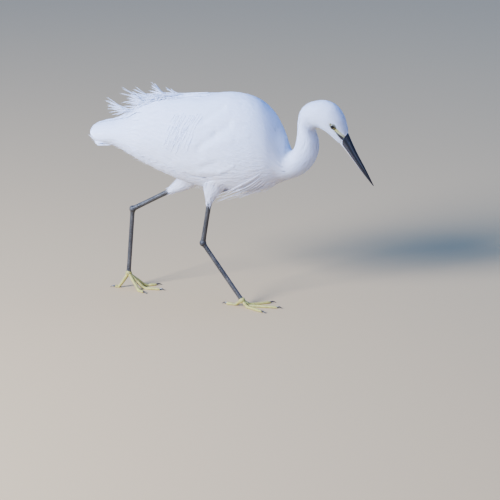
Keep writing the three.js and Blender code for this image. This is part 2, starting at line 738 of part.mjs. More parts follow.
function toeShape(leg, { reach, turn, joints }, grow = 0) {
  const start = toeJoint(leg).z;
  const landing = Math.min(reach * 0.6, 6 + (start - TOE_RADIUS) * 0.9);
  const end = floorReach(leg, reach);
  const path = new THREE.CatmullRomCurve3([
    toeJoint(leg),
    alongToe(leg, turn, landing * 0.55, lerp(start, SOLE, 0.6)),
    alongToe(leg, turn, landing, SOLE),
    alongToe(leg, turn, lerp(landing, end, 0.5), SOLE),
    alongToe(leg, turn, end, SOLE),
  ]);
  const knuckle = (t) => 1 + 0.1 * Math.cos(2 * Math.PI * joints * t);
  const radiusAt = (t) => grow + (TOE_RADIUS - 0.3 * t) * knuckle(t);
  return tube(path, radiusAt, { ringCount: 8, sides: 8 });
}
function toe(leg, toeSizes) {
  const cuts = [ball(toeJoint(leg), TOE_JOINT_RADIUS + GAP), tarsusShaft(leg, GAP)];
  if (toeSizes !== TOES.middle) cuts.push(toeShape(leg, TOES.middle, GAP));
  return largest(toeShape(leg, toeSizes).subtract(joined(cuts)).trimByPlane([0, 0, 1], 0));
}

function claw(leg, { reach, turn }) {
  const end = floorReach(leg, reach) + GAP;
  const path = new THREE.CatmullRomCurve3([
    alongToe(leg, turn, end, SOLE),
    alongToe(leg, turn, end + CLAW * 0.5, SOLE + 0.5),
    alongToe(leg, turn, end + CLAW, 0.45),
  ]);
  return tube(path, (t) => lerp(1.3, 0.35, t), { ringCount: 4, sides: 6 });
}

// Materials
const feather = new THREE.MeshStandardMaterial({ color: '#f1f2f6', roughness: 0.75 });
const horn = new THREE.MeshStandardMaterial({ color: '#3d444f', roughness: 0.4 });
const paleHorn = new THREE.MeshStandardMaterial({ color: '#cfc3c2', roughness: 0.45 });
const iris = new THREE.MeshStandardMaterial({ color: '#d8cf7a', roughness: 0.1 });
const legSkin = new THREE.MeshStandardMaterial({ color: '#33322f', roughness: 0.5 });
const toeSkin = new THREE.MeshStandardMaterial({ color: '#b6a63a', roughness: 0.55 });
const clawHorn = new THREE.MeshStandardMaterial({ color: '#241f1b', roughness: 0.4 });

function meshOf(name, solid, material) {
  const { vertProperties, triVerts } = solid.getMesh();
  const geometry = new THREE.BufferGeometry();
  geometry.setAttribute('position', new THREE.BufferAttribute(new Float32Array(vertProperties), 3));
  geometry.setIndex(new THREE.BufferAttribute(new Uint32Array(triVerts), 1));
  const flat = geometry.toNonIndexed();
  flat.computeVertexNormals();
  const mesh = new THREE.Mesh(flat, material);
  mesh.name = name;
  return mesh;
}

// The bird
const egret = new THREE.Group();
egret.add(
  meshOf('torso', trunk(), feather),
  meshOf('mantle', mantle(), feather),
  meshOf('tail', tail(), feather),
  meshOf('neck_base', neckBase, feather),
  meshOf('neck_middle', neckMiddle, feather),
  meshOf('neck_top', neckTop, feather),
  meshOf('head', head(), feather),
  meshOf('bill_upper', upperMandible(), horn),
  meshOf('bill_lower', mandible(GONYS), paleHorn),
);
for (const [name, leg] of Object.entries(LEGS)) {
  egret.add(
    meshOf(`wing_${name}`, wing(leg.side), feather),
    meshOf(`eye_${name}`, eye(leg.side), iris),
    meshOf(`thigh_${name}`, thigh(leg), feather),
    meshOf(`tibia_${name}`, tibia(leg), legSkin),
    meshOf(`tarsus_${name}`, tarsus(leg), legSkin),
    meshOf(`foot_${name}`, foot(leg), toeSkin),
  );
  for (const [toeName, toeSizes] of Object.entries(TOES))
    egret.add(
      meshOf(`toe_${toeName}_${name}`, toe(leg, toeSizes), toeSkin),
      meshOf(`claw_${toeName}_${name}`, claw(leg, toeSizes), clawHorn),
    );
}

export default egret;
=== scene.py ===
import math

import bpy
import numpy as np
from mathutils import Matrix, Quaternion, Vector


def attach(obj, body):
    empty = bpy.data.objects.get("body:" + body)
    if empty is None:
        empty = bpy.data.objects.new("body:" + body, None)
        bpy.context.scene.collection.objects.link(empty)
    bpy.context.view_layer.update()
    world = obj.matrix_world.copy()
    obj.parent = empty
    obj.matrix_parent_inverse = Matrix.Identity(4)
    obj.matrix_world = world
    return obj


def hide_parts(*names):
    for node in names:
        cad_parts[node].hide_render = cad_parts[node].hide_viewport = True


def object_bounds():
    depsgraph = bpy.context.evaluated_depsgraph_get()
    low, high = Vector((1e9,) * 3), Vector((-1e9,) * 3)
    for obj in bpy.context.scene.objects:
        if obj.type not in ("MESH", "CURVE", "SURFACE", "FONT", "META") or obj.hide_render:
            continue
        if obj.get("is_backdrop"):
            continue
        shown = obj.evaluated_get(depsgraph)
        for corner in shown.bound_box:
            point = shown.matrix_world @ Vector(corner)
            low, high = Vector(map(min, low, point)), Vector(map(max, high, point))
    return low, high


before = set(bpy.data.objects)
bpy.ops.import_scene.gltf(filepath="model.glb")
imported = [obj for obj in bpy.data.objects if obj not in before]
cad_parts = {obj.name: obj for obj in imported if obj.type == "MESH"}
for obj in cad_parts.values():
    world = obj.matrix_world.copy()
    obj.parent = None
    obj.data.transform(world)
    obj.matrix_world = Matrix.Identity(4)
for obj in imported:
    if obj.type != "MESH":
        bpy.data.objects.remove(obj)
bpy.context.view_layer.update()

# Body skin
# The bird under its feathers: trunk, neck, head and both thighs in one piece of thin white skin. It lies inside the
# outline by the depth of the plumage, and is bare and yellowish only between the eye and the bill.

MM = 0.001

# Back [x, z], belly [x, z] and half width of the plumage, in millimetres, from the wing tips to the bill.
STATIONS = np.array([
    [-213, 243, -213, 236, 7], [-206, 251, -206, 227, 17], [-191, 256, -191, 222, 22.5],
    [-171, 261, -171, 220, 26], [-150, 269, -150, 210, 31], [-125, 285, -125, 197, 38],
    [-95, 296, -95, 185, 45], [-60, 301, -62, 173, 50], [-20, 304.5, -25, 166, 52],
    [18, 305, 15, 164, 51], [46, 297.5, 45, 168.5, 45.5], [66, 280.5, 66, 176, 37.5],
    [78, 256.5, 79, 181.5, 29], [86.5, 230.5, 90, 185.5, 23], [94, 226.5, 103, 190, 20.5],
    [100.5, 232.5, 115.5, 198, 19], [104, 242, 126, 209.5, 17], [105.8, 253, 133.5, 225, 15.8],
    [106.8, 263, 134.8, 241, 14.8], [108, 273.5, 131.5, 253, 13.8], [111.5, 284.5, 130.5, 258.5, 13.5],
    [120, 294, 133, 261.5, 14.5], [133, 299.5, 137, 262.5, 16], [149, 301, 142, 261, 16.5],
    [164.5, 295, 149.5, 256.5, 15.5], [174.5, 282, 157.5, 250, 13], [179, 267, 164.5, 243.5, 10],
    [180.5, 256, 169.5, 239.5, 7.5],
]) * MM
# Stations of the rump and the shoulder, and of the roots of the neck, the head and the bill.
RUMP, SHOULDER, NECK_ROOT, HEAD_ROOT, BILL_ROOT = 2.2, 11.3, 13.0, 22.0, 27.0


def smooth(value, low, high):
    """0 below low, 1 above high, and 3u^2 - 2u^3 between them. Bounds given the other way round turn it round."""
    u = np.clip((value - low) / (high - low), 0, 1)
    return u * u * (3 - 2 * u)


def mix(low, high, share):
    """low + (high - low) times share."""
    return low + (high - low) * share


def through(table, place):
    """Smooth curve through the rows of a table at fractional row numbers: a cubic between each two rows whose slope
    at a row is half the step between its neighbours."""
    place = np.clip(place, 0, len(table) - 1)
    first = np.minimum(place.astype(int), len(table) - 2)
    u = (place - first)[..., None]
    before, here, there, after = (table[np.clip(first + k, 0, len(table) - 1)] for k in (-1, 0, 1, 2))
    leave, arrive = (there - before) / 2, (after - here) / 2
    cubic = (2 * here - 2 * there + leave + arrive) * u**3
    return cubic + (3 * there - 3 * here - 2 * leave - arrive) * u**2 + leave * u + here


def outline(station, angle):
    """Surface of the plumage: an ellipse at each station between its back and belly points, turned by the angle
    from the back towards the left flank."""
    station, angle = np.broadcast_arrays(np.asarray(station, float), np.asarray(angle, float))
    row = through(STATIONS, station)
    back, belly, half = row[..., 0:2], row[..., 2:4], row[..., 4]
    middle = (back + belly) / 2 + (back - belly) / 2 * np.cos(angle)[..., None]
    return np.stack([middle[..., 0], half * np.sin(angle), middle[..., 1]], -1)


def lifted(surface, along, about, height):
    """Points at a height over a surface: its place plus the height times the cross product of its two slopes."""
    near = 0.01
    ahead = surface(along - near, about) - surface(along + near, about)
    aside = surface(along, about + near) - surface(along, about - near)
    out = np.cross(aside, ahead)
    out /= np.maximum(np.linalg.norm(out, axis=-1, keepdims=True), 1e-12)
    return surface(along, about) + out * np.asarray(height)[..., None]


def piece(name, points, *faces):
    """A mesh object at the origin from rows of points in metres and arrays of faces with three or four corners."""
    mesh = bpy.data.meshes.new(name)
    corners = np.concatenate([f.ravel() for f in faces]).astype(np.int32)
    sizes = np.concatenate([np.full(len(f), f.shape[1]) for f in faces])
    mesh.vertices.add(len(points))
    mesh.vertices.foreach_set("co", np.asarray(points, np.float32).ravel())
    mesh.loops.add(len(corners))
    mesh.loops.foreach_set("vertex_index", corners)
    mesh.polygons.add(len(sizes))
    mesh.polygons.foreach_set("loop_start", np.concatenate([[0], np.cumsum(sizes)[:-1]]).astype(np.int32))
    mesh.polygons.foreach_set("use_smooth", np.ones(len(sizes), bool))
    mesh.update(calc_edges=True)
    made = bpy.data.objects.new(name, mesh)
    bpy.context.scene.collection.objects.link(made)
    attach(made, "root")
    return made


def inside_out(points, faces):
    """True if the faces of a closed mesh point inwards, by the sign of the volume that they enclose."""
    a, b, c = (points[faces[:, n]] - points.mean(0) for n in (0, 1, 2))
    return (a * np.cross(b, c)).sum() < 0


def shell(rings):
    """Points and faces of a closed tube through rings of points, [ring, corner, xyz]: quads between the rings, a fan
    round the middle of each end, and all turned outwards."""
    count, sides = rings.shape[:2]
    points = np.concatenate([rings.reshape(-1, 3), rings[[0, -1]].mean(1)])
    low, j = np.arange(count - 1)[:, None] * sides, np.arange(sides)
    k = (j + 1) % sides
    quads = np.stack([low + j, low + k, low + sides + k, low + sides + j], -1).reshape(-1, 4)
    top = (count - 1) * sides
    fans = np.concatenate([
        np.stack([k, j, np.full(sides, len(points) - 2)], -1),
        np.stack([top + j, top + k, np.full(sides, len(points) - 1)], -1),
    ])
    if inside_out(points, quads):
        quads, fans = quads[:, ::-1], fans[:, ::-1]
    return points, quads, fans


# The eye's place in side view, in millimetres, the way the bill points, and the way square to it.
EYE = np.array([163.0, 268.2])
BILL_AXIS = np.array([0.56, -0.83])
BILL_UP = np.array([0.83, 0.56])


def from_eye(points):
    """How far points lie forward of the eye along the bill, and how far above that line, in millimetres."""
    off = points[..., [0, 2]] / MM - EYE
    return off @ BILL_AXIS, off @ BILL_UP


def on_head(points):
    """1 on the head, which starts 152 mm ahead of the origin, and 0 behind it."""
    return smooth(points[..., 0], 0.150, 0.154)


def mouth_middle(forward):
    """Height of the line of the mouth beside the face, from under the eye to the bill's root, in millimetres."""
    return mix(-1.9, -0.8, smooth(forward, 6, 24))


def bare_face(points):
    """1 where the face has bare skin: an oval of 12 by 7 mm round the eye, and a band from it to the bill, above the
    mouth, that widens from 5 to 6 mm."""
    forward, up = from_eye(points)
    oval = 1 - smooth(np.hypot((forward - 0.5) / 6.0, up / 3.4), 0.92, 1.08)
    middle, half = mix(0.4, 1.1, smooth(forward, 4, 18)), mix(2.6, 3.1, smooth(forward, 5, 20))
    band = (1 - smooth(np.abs(up - middle) / half, 0.85, 1.12)) * smooth(forward, 0, 4)
    return np.maximum(oval, band) * on_head(points)


def gape_line(points):
    """1 along the dark line of the mouth, which widens from a thread under the eye to the root of the bill."""
    forward, up = from_eye(points)
    half = mix(0.45, 2.5, smooth(forward, 6, 23))
    along_face = smooth(forward, 5.0, 8.0) * on_head(points)
    return (1 - smooth(np.abs(up - mouth_middle(forward)), half * 0.7, half * 1.25)) * along_face


# Depth of the plumage over the skin, in millimetres: under the folded wings and the mantle, and on the breast, the
# neck, the face and the thighs.
WING_COAT, BREAST_COAT, NECK_COAT, FACE_COAT, THIGH_COAT = 7.3, 2.4, 1.5, 0.7, 1.2


def coat_depth(station, angle):
    """Depth of the plumage: from the breast's over the neck's to the face's, and the wing's on the back and flanks."""
    under_wing = (1 - smooth(station, 10.2, 12)) * (1 - smooth(np.abs(angle), np.radians(118), np.radians(142)))
    soft = mix(BREAST_COAT, NECK_COAT, smooth(station, 12, 17))
    soft = mix(soft, FACE_COAT, smooth(station, 20, 24.5))
    return (soft + (WING_COAT - soft) * under_wing) * MM


# How deep the forms of the bare face are, in millimetres.
BARE_DEEP, FURROW_DEEP, GAPE_DEEP, MOUTH_DEEP, SOCKET_DEEP = 0.20, 0.30, 0.25, 0.6, 4.2


def face_relief(points):
    """Height of the bare face: sunk a little round the eye and before it, furrowed along the mouth, with a deep
    socket where the eyeball sits."""
    forward, up = from_eye(points)
    bare = bare_face(points)
    socket = 1 - smooth(np.hypot((forward - 0.5) / 5.2, up / 3.1), 0.8, 1.02)
    furrow = np.exp(-((up - mix(0.3, 1.6, smooth(forward, 4, 20))) / 0.7) ** 2) * smooth(forward, 6, 9)
    cut = np.exp(-(((up - mouth_middle(forward)) / 0.35) ** 2)) * smooth(forward, 6, 9)
    return (-BARE_DEEP * bare - FURROW_DEEP * furrow * bare - GAPE_DEEP * gape_line(points) - MOUTH_DEEP * cut
            - SOCKET_DEEP * socket) * MM


SKIN_SIDES = 144
CHEEK = 4 * MM  # how far from the midline the cheeks start


def body_rings(first, last, count):
    """Rings of the skin between two stations: the outline moved in by the depth of the plumage, with the relief of the
    face on both cheeks."""
    along = np.linspace(first, last, count)[:, None]
    turn = np.linspace(-np.pi, np.pi, SKIN_SIDES, endpoint=False)[None, :]
    place = outline(along, turn)
    on_cheek = (np.abs(place[..., 1]) > CHEEK).astype(float)
    return lifted(outline, along, turn, -coat_depth(along, turn) + face_relief(place) * on_cheek)


# The rings are closest on the head, where the forms are finest.
rings = np.concatenate([
    body_rings(RUMP, NECK_ROOT, 90)[:-1],
    body_rings(NECK_ROOT, HEAD_ROOT, 110)[:-1],
    body_rings(HEAD_ROOT, BILL_ROOT, 190),
])
skin = piece("skin", *shell(rings))

# Joints of each leg in millimetres, the way its tarsus leans, and the radius of the thigh's plumage at the hip, at the
# knee and where the feathers end in a sock.
LEGS = {
    "left": dict(side=1, hip=[-62, 20, 182], knee=[-84, 21, 164], sock=[-104, 22, 151.5],
                 ankle=[-167.4, 22, 119.5], lean=[-0.14, 0, -0.99], thigh=[19, 11.5, 5.4]),
    "right": dict(side=-1, hip=[-12, -20, 188], knee=[-21.5, -21, 167], sock=[-26.0, -21.9, 151.5],
                  ankle=[-40, -22, 90], lean=[0.56, 0, -0.828], thigh=[20, 12.2, 4.2]),
}


def tube_frame(path, place):
    """Point, forward direction and two square directions of a smooth path at fractional row numbers."""
    near = 0.01
    here = through(path, place)
    ahead = through(path, np.minimum(place + near, len(path) - 1)) - through(path, np.maximum(place - near, 0))
    ahead /= np.linalg.norm(ahead, axis=-1, keepdims=True)
    across = np.cross(np.broadcast_to([0.0, 1.0, 0.0], ahead.shape), ahead)
    across /= np.linalg.norm(across, axis=-1, keepdims=True)
    return here, ahead, across, np.cross(ahead, across)


def thigh_surface(leg):
    """Surface of a thigh's plumage: an ellipse round the line from the sock (0) over the knee (1) to the hip (2),
    narrower below as the muscle is. The line goes on a little past both ends."""
    hip, knee, sock, ankle = (np.array(leg[k]) for k in ("hip", "knee", "sock", "ankle"))
    path = np.array([sock + (ankle - sock) * 0.25, sock, knee, hip, hip + (hip - knee) * 0.6]) * MM
    wide, waist, narrow = leg["thigh"]
    radii = np.array([narrow * 0.9, narrow, waist, wide, wide])[:, None] * MM

    def surface(along, turn):
        along, turn = np.broadcast_arrays(np.asarray(along, float), np.asarray(turn, float))
        here, _, across, side = tube_frame(path, along + 1)
        radius = through(radii, along + 1)
        return here + across * radius * np.cos(turn)[..., None] - side * radius * 0.85 * np.sin(turn)[..., None]

    return surface


for name, leg in LEGS.items():
    surface = thigh_surface(leg)
    along, turn = np.linspace(0.02, 2, 40)[:, None], np.linspace(0, 2 * np.pi, 48, endpoint=False)[None, :]
    inner = lifted(surface, along, turn, np.full((along.size, turn.size), -THIGH_COAT * MM))
    thigh = piece(f"thigh_{name}_flesh", *shell(inner))
    union = skin.modifiers.new("thigh", "BOOLEAN")
    union.object = thigh
    union.operation = "UNION"
    union.solver = "EXACT"
    bpy.context.view_layer.update()
    fused = bpy.data.meshes.new_from_object(skin.evaluated_get(bpy.context.evaluated_depsgraph_get()))
    skin.modifiers.clear()
    old = skin.data
    skin.data = fused
    bpy.data.meshes.remove(old)
    bpy.data.objects.remove(thigh)
skin.data.name = "skin"


# Places of the two colours among a Mix node's inputs, and of the mixed colour among its outputs.
COLOUR_A, COLOUR_B, MIXED = 6, 7, 2


def add(tree, kind, inputs=None, **settings):
    """Add a node of a kind with its settings; each input is a value or another node's output."""
    made = tree.nodes.new("ShaderNode" + kind)
    for name, value in settings.items():
        setattr(made, name, value)
    for name, value in (inputs or {}).items():
        if isinstance(value, bpy.types.NodeSocket):
            tree.links.new(value, made.inputs[name])
        else:
            made.inputs[name].default_value = value
    return made


def linear(code):
    """Linear colour with alpha from an sRGB hex code: (c + 0.055) / 1.055 to the power 2.4, or c / 12.92 if dark."""
    parts = [int(code[i:i + 2], 16) / 255 for i in (1, 3, 5)]
    return (*[c / 12.92 if c < 0.04045 else ((c + 0.055) / 1.055) ** 2.4 for c in parts], 1)


def material(name):
    """An empty node material and its output."""
    made = bpy.data.materials.new(name)
    made.use_nodes = True
    made.node_tree.nodes.clear()
    return made, made.node_tree, add(made.node_tree, "OutputMaterial")


def point_value(obj, name, values):
    """Store one number per point of a mesh as an attribute."""
    obj.data.attributes.new(name, "FLOAT", "POINT").data.foreach_set("value", np.asarray(values, np.float32).ravel())


def places(obj):
    """The points of a mesh as rows."""
    flat = np.empty(len(obj.data.vertices) * 3, np.float32)
    obj.data.vertices.foreach_get("co", flat)
    return flat.reshape(-1, 3)


def painted_sky_and_bounce(points):
    """How much a feather turns from the blue-white of painted sky light to the warm white of painted bounce light and
    shade: most under the breast, belly and thighs.
    """
    low = smooth(points[..., 2], 0.225, 0.170) + 0.35 * smooth(points[..., 2], 0.25, 0.22)
    return np.clip(low, 0, 1) * smooth(points[..., 0], 0.13, 0.09)


skin_points = places(skin)
on_cheek = np.abs(skin_points[:, 1]) > CHEEK
point_value(skin, "bare", bare_face(skin_points) * on_cheek)
point_value(skin, "mouth_line_and_lid_shade", gape_line(skin_points) * on_cheek)
point_value(skin, "by_eye", 1 - smooth(np.hypot(*from_eye(skin_points)), 6, 13))
point_value(skin, "painted_sky_and_bounce", painted_sky_and_bounce(skin_points))

# Skin of a heron: thin, matt and white under the plumage, waxy and greenish yellow on the bare face, with pores under
# 1 mm apart, freckles of 2 mm and blotches of 4 mm.
skin_finish, tree, output = material("bird skin")
place = add(tree, "TexCoord").outputs["Object"]
pores = add(tree, "TexNoise", {"Vector": place, "Scale": 1400.0, "Detail": 3.0, "Roughness": 0.6})
blotch = add(tree, "TexNoise", {"Vector": place, "Scale": 260.0, "Detail": 2.0})
freckle = add(tree, "TexNoise", {"Vector": place, "Scale": 520.0, "Detail": 2.0})
spots = add(tree, "MapRange", {
    "Value": freckle.outputs["Fac"], "From Min": 0.60, "From Max": 0.72, "To Max": 0.55,
})
lore = add(tree, "Mix", {
    "Factor": blotch.outputs["Fac"], COLOUR_A: linear("#bfbf98"), COLOUR_B: linear("#8f9070"),
}, data_type="RGBA")
by_eye = add(tree, "Attribute", attribute_name="by_eye")
corner = add(tree, "Mix", {
    "Factor": by_eye.outputs["Fac"], COLOUR_A: lore.outputs[MIXED], COLOUR_B: linear("#a29c50"),
}, data_type="RGBA")
spotted = add(tree, "Mix", {
    "Factor": spots.outputs["Result"], COLOUR_A: corner.outputs[MIXED], COLOUR_B: linear("#4e4c3a"),
}, data_type="RGBA")
bare = add(tree, "Attribute", attribute_name="bare")
mouth_line_and_lid_shade = add(tree, "Attribute", attribute_name="mouth_line_and_lid_shade")
base = add(tree, "Mix", {
    "Factor": bare.outputs["Fac"], COLOUR_A: linear("#f1f2f4"), COLOUR_B: spotted.outputs[MIXED],
}, data_type="RGBA")
dark = add(tree, "Mix", {
    "Factor": mouth_line_and_lid_shade.outputs["Fac"], COLOUR_A: base.outputs[MIXED], COLOUR_B: linear("#2a2623"),
}, data_type="RGBA")
bump = add(tree, "Bump", {"Height": pores.outputs["Fac"], "Strength": 0.35, "Distance": 0.0002})
surface = add(tree, "BsdfPrincipled", {
    "Base Color": dark.outputs[MIXED], "Roughness": 0.5, "Subsurface Weight": 0.2,
    "Subsurface Radius": (1.0, 0.6, 0.35), "Subsurface Scale": 0.0015, "Normal": bump.outputs["Normal"],
})
tree.links.new(surface.outputs[0], output.inputs["Surface"])
skin.data.materials.append(skin_finish)
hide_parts("torso", "neck_base", "neck_middle", "neck_top", "head", "thigh_left", "thigh_right")

# Eyes
# Round eyeballs, 12 mm across, set in the face so that an oval of 9.5 by 5 mm shows. The iris is pale yellow with a
# dark rim, the pupil black, and the cornea bulges over them, wet and clear.

EYE_RADIUS = 6.0 * MM
EYE_SUNK = 5.2 * MM
CORNEA_BULGE = 0.05
IRIS_SPOKES = 34


def eye_middle(side):
    """Middle of an eyeball: the place on the cheek over the eye's spot, moved inwards."""
    along, turn = np.meshgrid(np.linspace(22, 26.5, 181), np.radians(np.linspace(30, 150, 181)), indexing="ij")
    cheek = outline(along, turn * side)
    off = np.hypot(cheek[..., 0] / MM - EYE[0], cheek[..., 2] / MM - EYE[1])
    spot = cheek[np.unravel_index(off.argmin(), off.shape)]
    return np.array([EYE[0] * MM, spot[1] - side * EYE_SUNK, EYE[1] * MM])


EYE_AIM = {"left": np.array([0.05, 0.995, -0.01]), "right": np.array([0.05, -0.995, -0.01])}

# A living eye, kept wet: a small, sharp highlight over an iris with fine spokes. The colours follow the angle off the
# eye's axis, in radians: the pupil ends at 0.46 and the iris at 0.70.
eye_finish, tree, output = material("wet bird eye")
off_axis = add(tree, "Attribute", attribute_name="off_axis")
spokes = add(tree, "Attribute", attribute_name="spoke")
grain = add(tree, "TexNoise", {"Vector": add(tree, "TexCoord").outputs["Object"], "Scale": 2600.0, "Detail": 3.0})
tone = add(tree, "Math", {0: spokes.outputs["Fac"], 1: grain.outputs["Fac"]}, operation="MULTIPLY")
ramp = add(tree, "ValToRGB", {"Fac": off_axis.outputs["Fac"]})
ramp.color_ramp.elements[0].position = 0.46
ramp.color_ramp.elements[0].color = linear("#050505")
ramp.color_ramp.elements[1].position = 0.49
ramp.color_ramp.elements[1].color = linear("#8f8848")
for position, colour in ((0.57, "#b3aa62"), (0.70, "#948c4c"), (0.77, "#2c2a24"), (0.90, "#171512")):
    ramp.color_ramp.elements.new(position).color = linear(colour)
iris = add(tree, "Mix", {
    "Factor": tone.outputs[0], COLOUR_A: ramp.outputs["Color"], COLOUR_B: linear("#8d8440"),
}, data_type="RGBA", blend_type="MULTIPLY")
surface = add(tree, "BsdfPrincipled", {
    "Base Color": iris.outputs[MIXED], "Roughness": 0.3, "Coat Weight": 0.4, "Coat Roughness": 0.04, "Coat IOR": 1.38,
    "Specular IOR Level": 0.25,
})
tree.links.new(surface.outputs[0], output.inputs["Surface"])

for name, aim in EYE_AIM.items():
    middle = eye_middle(1 if name == "left" else -1)
    aim = aim / np.linalg.norm(aim)
    up = np.cross(aim, [0, 0, 1.0])
    up /= np.linalg.norm(up)
    side = np.cross(aim, up)
    level = np.linspace(0.004, np.pi - 0.004, 64)[:, None]
    turn = np.linspace(0, 2 * np.pi, 72, endpoint=False)[None, :]
    bulge = 1 + CORNEA_BULGE * (1 - smooth(level, 0.3, 0.75))
    ball = (aim * np.cos(level)[..., None] + up * (np.sin(level) * np.cos(turn))[..., None]
            + side * (np.sin(level) * np.sin(turn))[..., None]) * bulge[..., None] * EYE_RADIUS + middle
    eye = piece(f"eyeball_{name}", *shell(ball))
    off = (places(eye) - middle) / EYE_RADIUS
    tilt = np.arccos(np.clip(off @ aim / np.linalg.norm(off, axis=1), -1, 1))
    point_value(eye, "off_axis", np.clip(tilt, 0, 1))
    point_value(eye, "spoke", 0.5 + 0.5 * np.cos(IRIS_SPOKES * np.arctan2(off @ up, off @ side)))
    eye.data.materials.append(eye_finish)
    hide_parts(f"eye_{name}")

# Eyelids
# A low rim of bare, finely wrinkled skin round each eye, with painted shade that makes it darkest where it meets the
# eyeball. It slopes down to the face and is drawn out to a corner in front and behind.

# Half length and half height of the opening, how far it lies ahead of the eye's middle, and how far the rim slopes
# down, in millimetres.
LID_LONG, LID_HIGH, LID_AHEAD, LID_DROP = 4.75, 2.45, 0.9, 0.35
LID_WRINKLES = 44

for name, side in (("left", 1), ("right", -1)):
    middle = eye_middle(side)
    turn = np.linspace(0, 2 * np.pi, 112, endpoint=False)[:, None]
    section = np.linspace(0, 2 * np.pi, 24, endpoint=False)[None, :]
    corner = np.abs(np.cos(turn)) ** 7
    radius = (0.40 + 0.10 * smooth(np.sin(turn), -0.2, 0.5)) * (1 + 0.06 * np.sin(LID_WRINKLES * turn))
    skirt = mix(1.7, 1.4, np.cos(turn) ** 2)
    outwards = np.maximum(np.cos(section), 0)
    reach = np.where(np.cos(section) < 0, radius * np.cos(section), skirt * outwards)
    forward = (LID_LONG + 0.45 * corner + reach) * np.cos(turn) + LID_AHEAD
    up = (LID_HIGH * (1 - 0.08 * (np.sin(turn) < 0)) + reach) * np.sin(turn)
    flat = EYE + forward[..., None] * BILL_AXIS + up[..., None] * BILL_UP
    out = np.hypot(forward, up) * MM
    dome = np.sqrt(np.maximum((EYE_RADIUS * 1.05) ** 2 - out**2, (2.2 * MM) ** 2))
    rise = radius * np.sin(section) * (0.8 - 0.55 * outwards) * MM
    height = np.abs(middle[1]) + dome * 0.97 + rise - LID_DROP * outwards**2 * MM
    rim = np.stack([flat[..., 0] * MM, side * height, flat[..., 1] * MM], -1)
    count, sides = rim.shape[:2]
    i, j = np.arange(count)[:, None], np.arange(sides)[None, :]
    k, m = (i + 1) % count, (j + 1) % sides
    quads = np.stack([i * sides + j, k * sides + j, k * sides + m, i * sides + m], -1).reshape(-1, 4)
    rim_points = rim.reshape(-1, 3)
    if inside_out(rim_points, quads):
        quads = quads[:, ::-1]
    lid = piece(f"eyelids_{name}", rim_points, quads)
    # Painted shade: the rim's inner side, where it meets the eyeball, is darkened nearly to the mouth's dark colour;
    # the rest of the lid takes 0.42 of that colour as its own dull skin.
    inner_edge = np.broadcast_to(smooth(-np.cos(section), -0.55, -0.15), rim.shape[:2])
    point_value(lid, "bare", np.full(len(rim_points), 0.95))
    point_value(lid, "mouth_line_and_lid_shade", 0.42 + 0.55 * inner_edge)
    point_value(lid, "by_eye", np.full(len(rim_points), 0.5))
    lid.data.materials.append(skin_finish)

# Bill
# Two long mandibles of horn that taper to one point: the upper one slate black, with a groove along each side and a
# slit nostril at its root, the lower one dark beside the mouth and pale pinkish along its lower edge, to mid-length.

# Edge curves in side view, [x, z] from root to tip, of the upper mandible's ridge and the lower one's keel.
CULMEN = np.array([[180.7, 255.4], [190.5, 232], [203.7, 206], [214.6, 182.6]]) * MM
GONYS = np.array([[170.1, 238.9], [183.5, 221], [196.8, 203], [213.8, 182.2]]) * MM
# Where the mouth lies between ridge and keel, the half width at root and tip, and the gap between the mandibles.
MOUTH = 0.48
BILL_HALF = (7.0 * MM, 0.55 * MM)
MOUTH_GAP = 0.12 * MM
BILL_RINGS = 150
# How far up from the mouth, as a share, each corner of a ring lies: over the outer side and back along the mouth.
BILL_RISE = np.concatenate([np.sin(np.linspace(0, np.pi, 40)) ** 0.9, np.zeros(10)])


def mandible(edge, relief):
    """Rings of one mandible: a half oval from the line of the mouth out to its edge curve. The width falls with the
    power 0.8 of the length, and relief adds a share to it. The first ring lies 2.5 mm inside the head."""
    t = np.linspace(0, 1, BILL_RINGS)
    ridge, other = through(edge, t * 3), through(GONYS if edge is CULMEN else CULMEN, t * 3)
    share = MOUTH if edge is CULMEN else 1 - MOUTH
    line = mix(ridge, other, share)
    away = ridge - line
    line = line + away / np.linalg.norm(away, axis=1, keepdims=True) * MOUTH_GAP
    half = mix(*BILL_HALF, t**0.8)
    wide = np.concatenate([np.cos(np.linspace(0, np.pi, 40)), -np.cos(np.linspace(0, np.pi, 12))[1:-1]])
    place = line[:, None] + away[:, None] * (0.985 * BILL_RISE)[None, :, None]
    across = half[:, None] * wide * (1 - 0.25 * BILL_RISE) * (1 + relief(t[:, None], BILL_RISE[None, :]))
    ovals = np.stack([place[..., 0], across, place[..., 1]], -1)
    inward = np.array([BILL_AXIS[0], 0, BILL_AXIS[1]]) * -2.5 * MM
    root = ovals[0].mean(0) + (ovals[0] - ovals[0].mean(0)) * 0.9 + inward
    return np.concatenate([root[None], ovals])


def upper_relief(t, rise):
    """A groove along each side from the root to two thirds of the bill, deepest at the nostril, and growth lines."""
    groove = np.exp(-(((rise - mix(0.62, 0.5, t)) / 0.085) ** 2)) * (1 - smooth(t, 0.45, 0.68))
    nostril = np.exp(-(((rise - 0.60) / 0.055) ** 2)) * smooth(t, 0.055, 0.075) * (1 - smooth(t, 0.14, 0.165))
    edge = 0.035 * np.exp(-((rise / 0.06) ** 2))
    return -0.13 * groove - 0.34 * nostril + edge + 0.004 * np.sin(t * 180 + rise * 5)


def lower_relief(t, rise):
    """A shallow hollow along each side of the lower mandible, and a proud cutting edge."""
    hollow = np.exp(-(((rise - 0.45) / 0.18) ** 2)) * (1 - smooth(t, 0.4, 0.7))
    return -0.07 * hollow + 0.035 * np.exp(-((rise / 0.07) ** 2)) + 0.004 * np.sin(t * 150)


def painted_sheen_band(t, rise):
    """1 along a band of painted sheen in the middle of the upper mandible's side, which fades before the tip."""
    return np.exp(-(((rise - mix(0.52, 0.45, t)) / 0.08) ** 2)) * (1 - smooth(t, 0.55, 0.9)) * smooth(t, 0.01, 0.05)


def lower_band(t, rise):
    """1 on the dark part of the lower mandible, from the mouth to two thirds of the way down."""
    return 1 - smooth(rise, 0.66, 0.92) + 0 * t
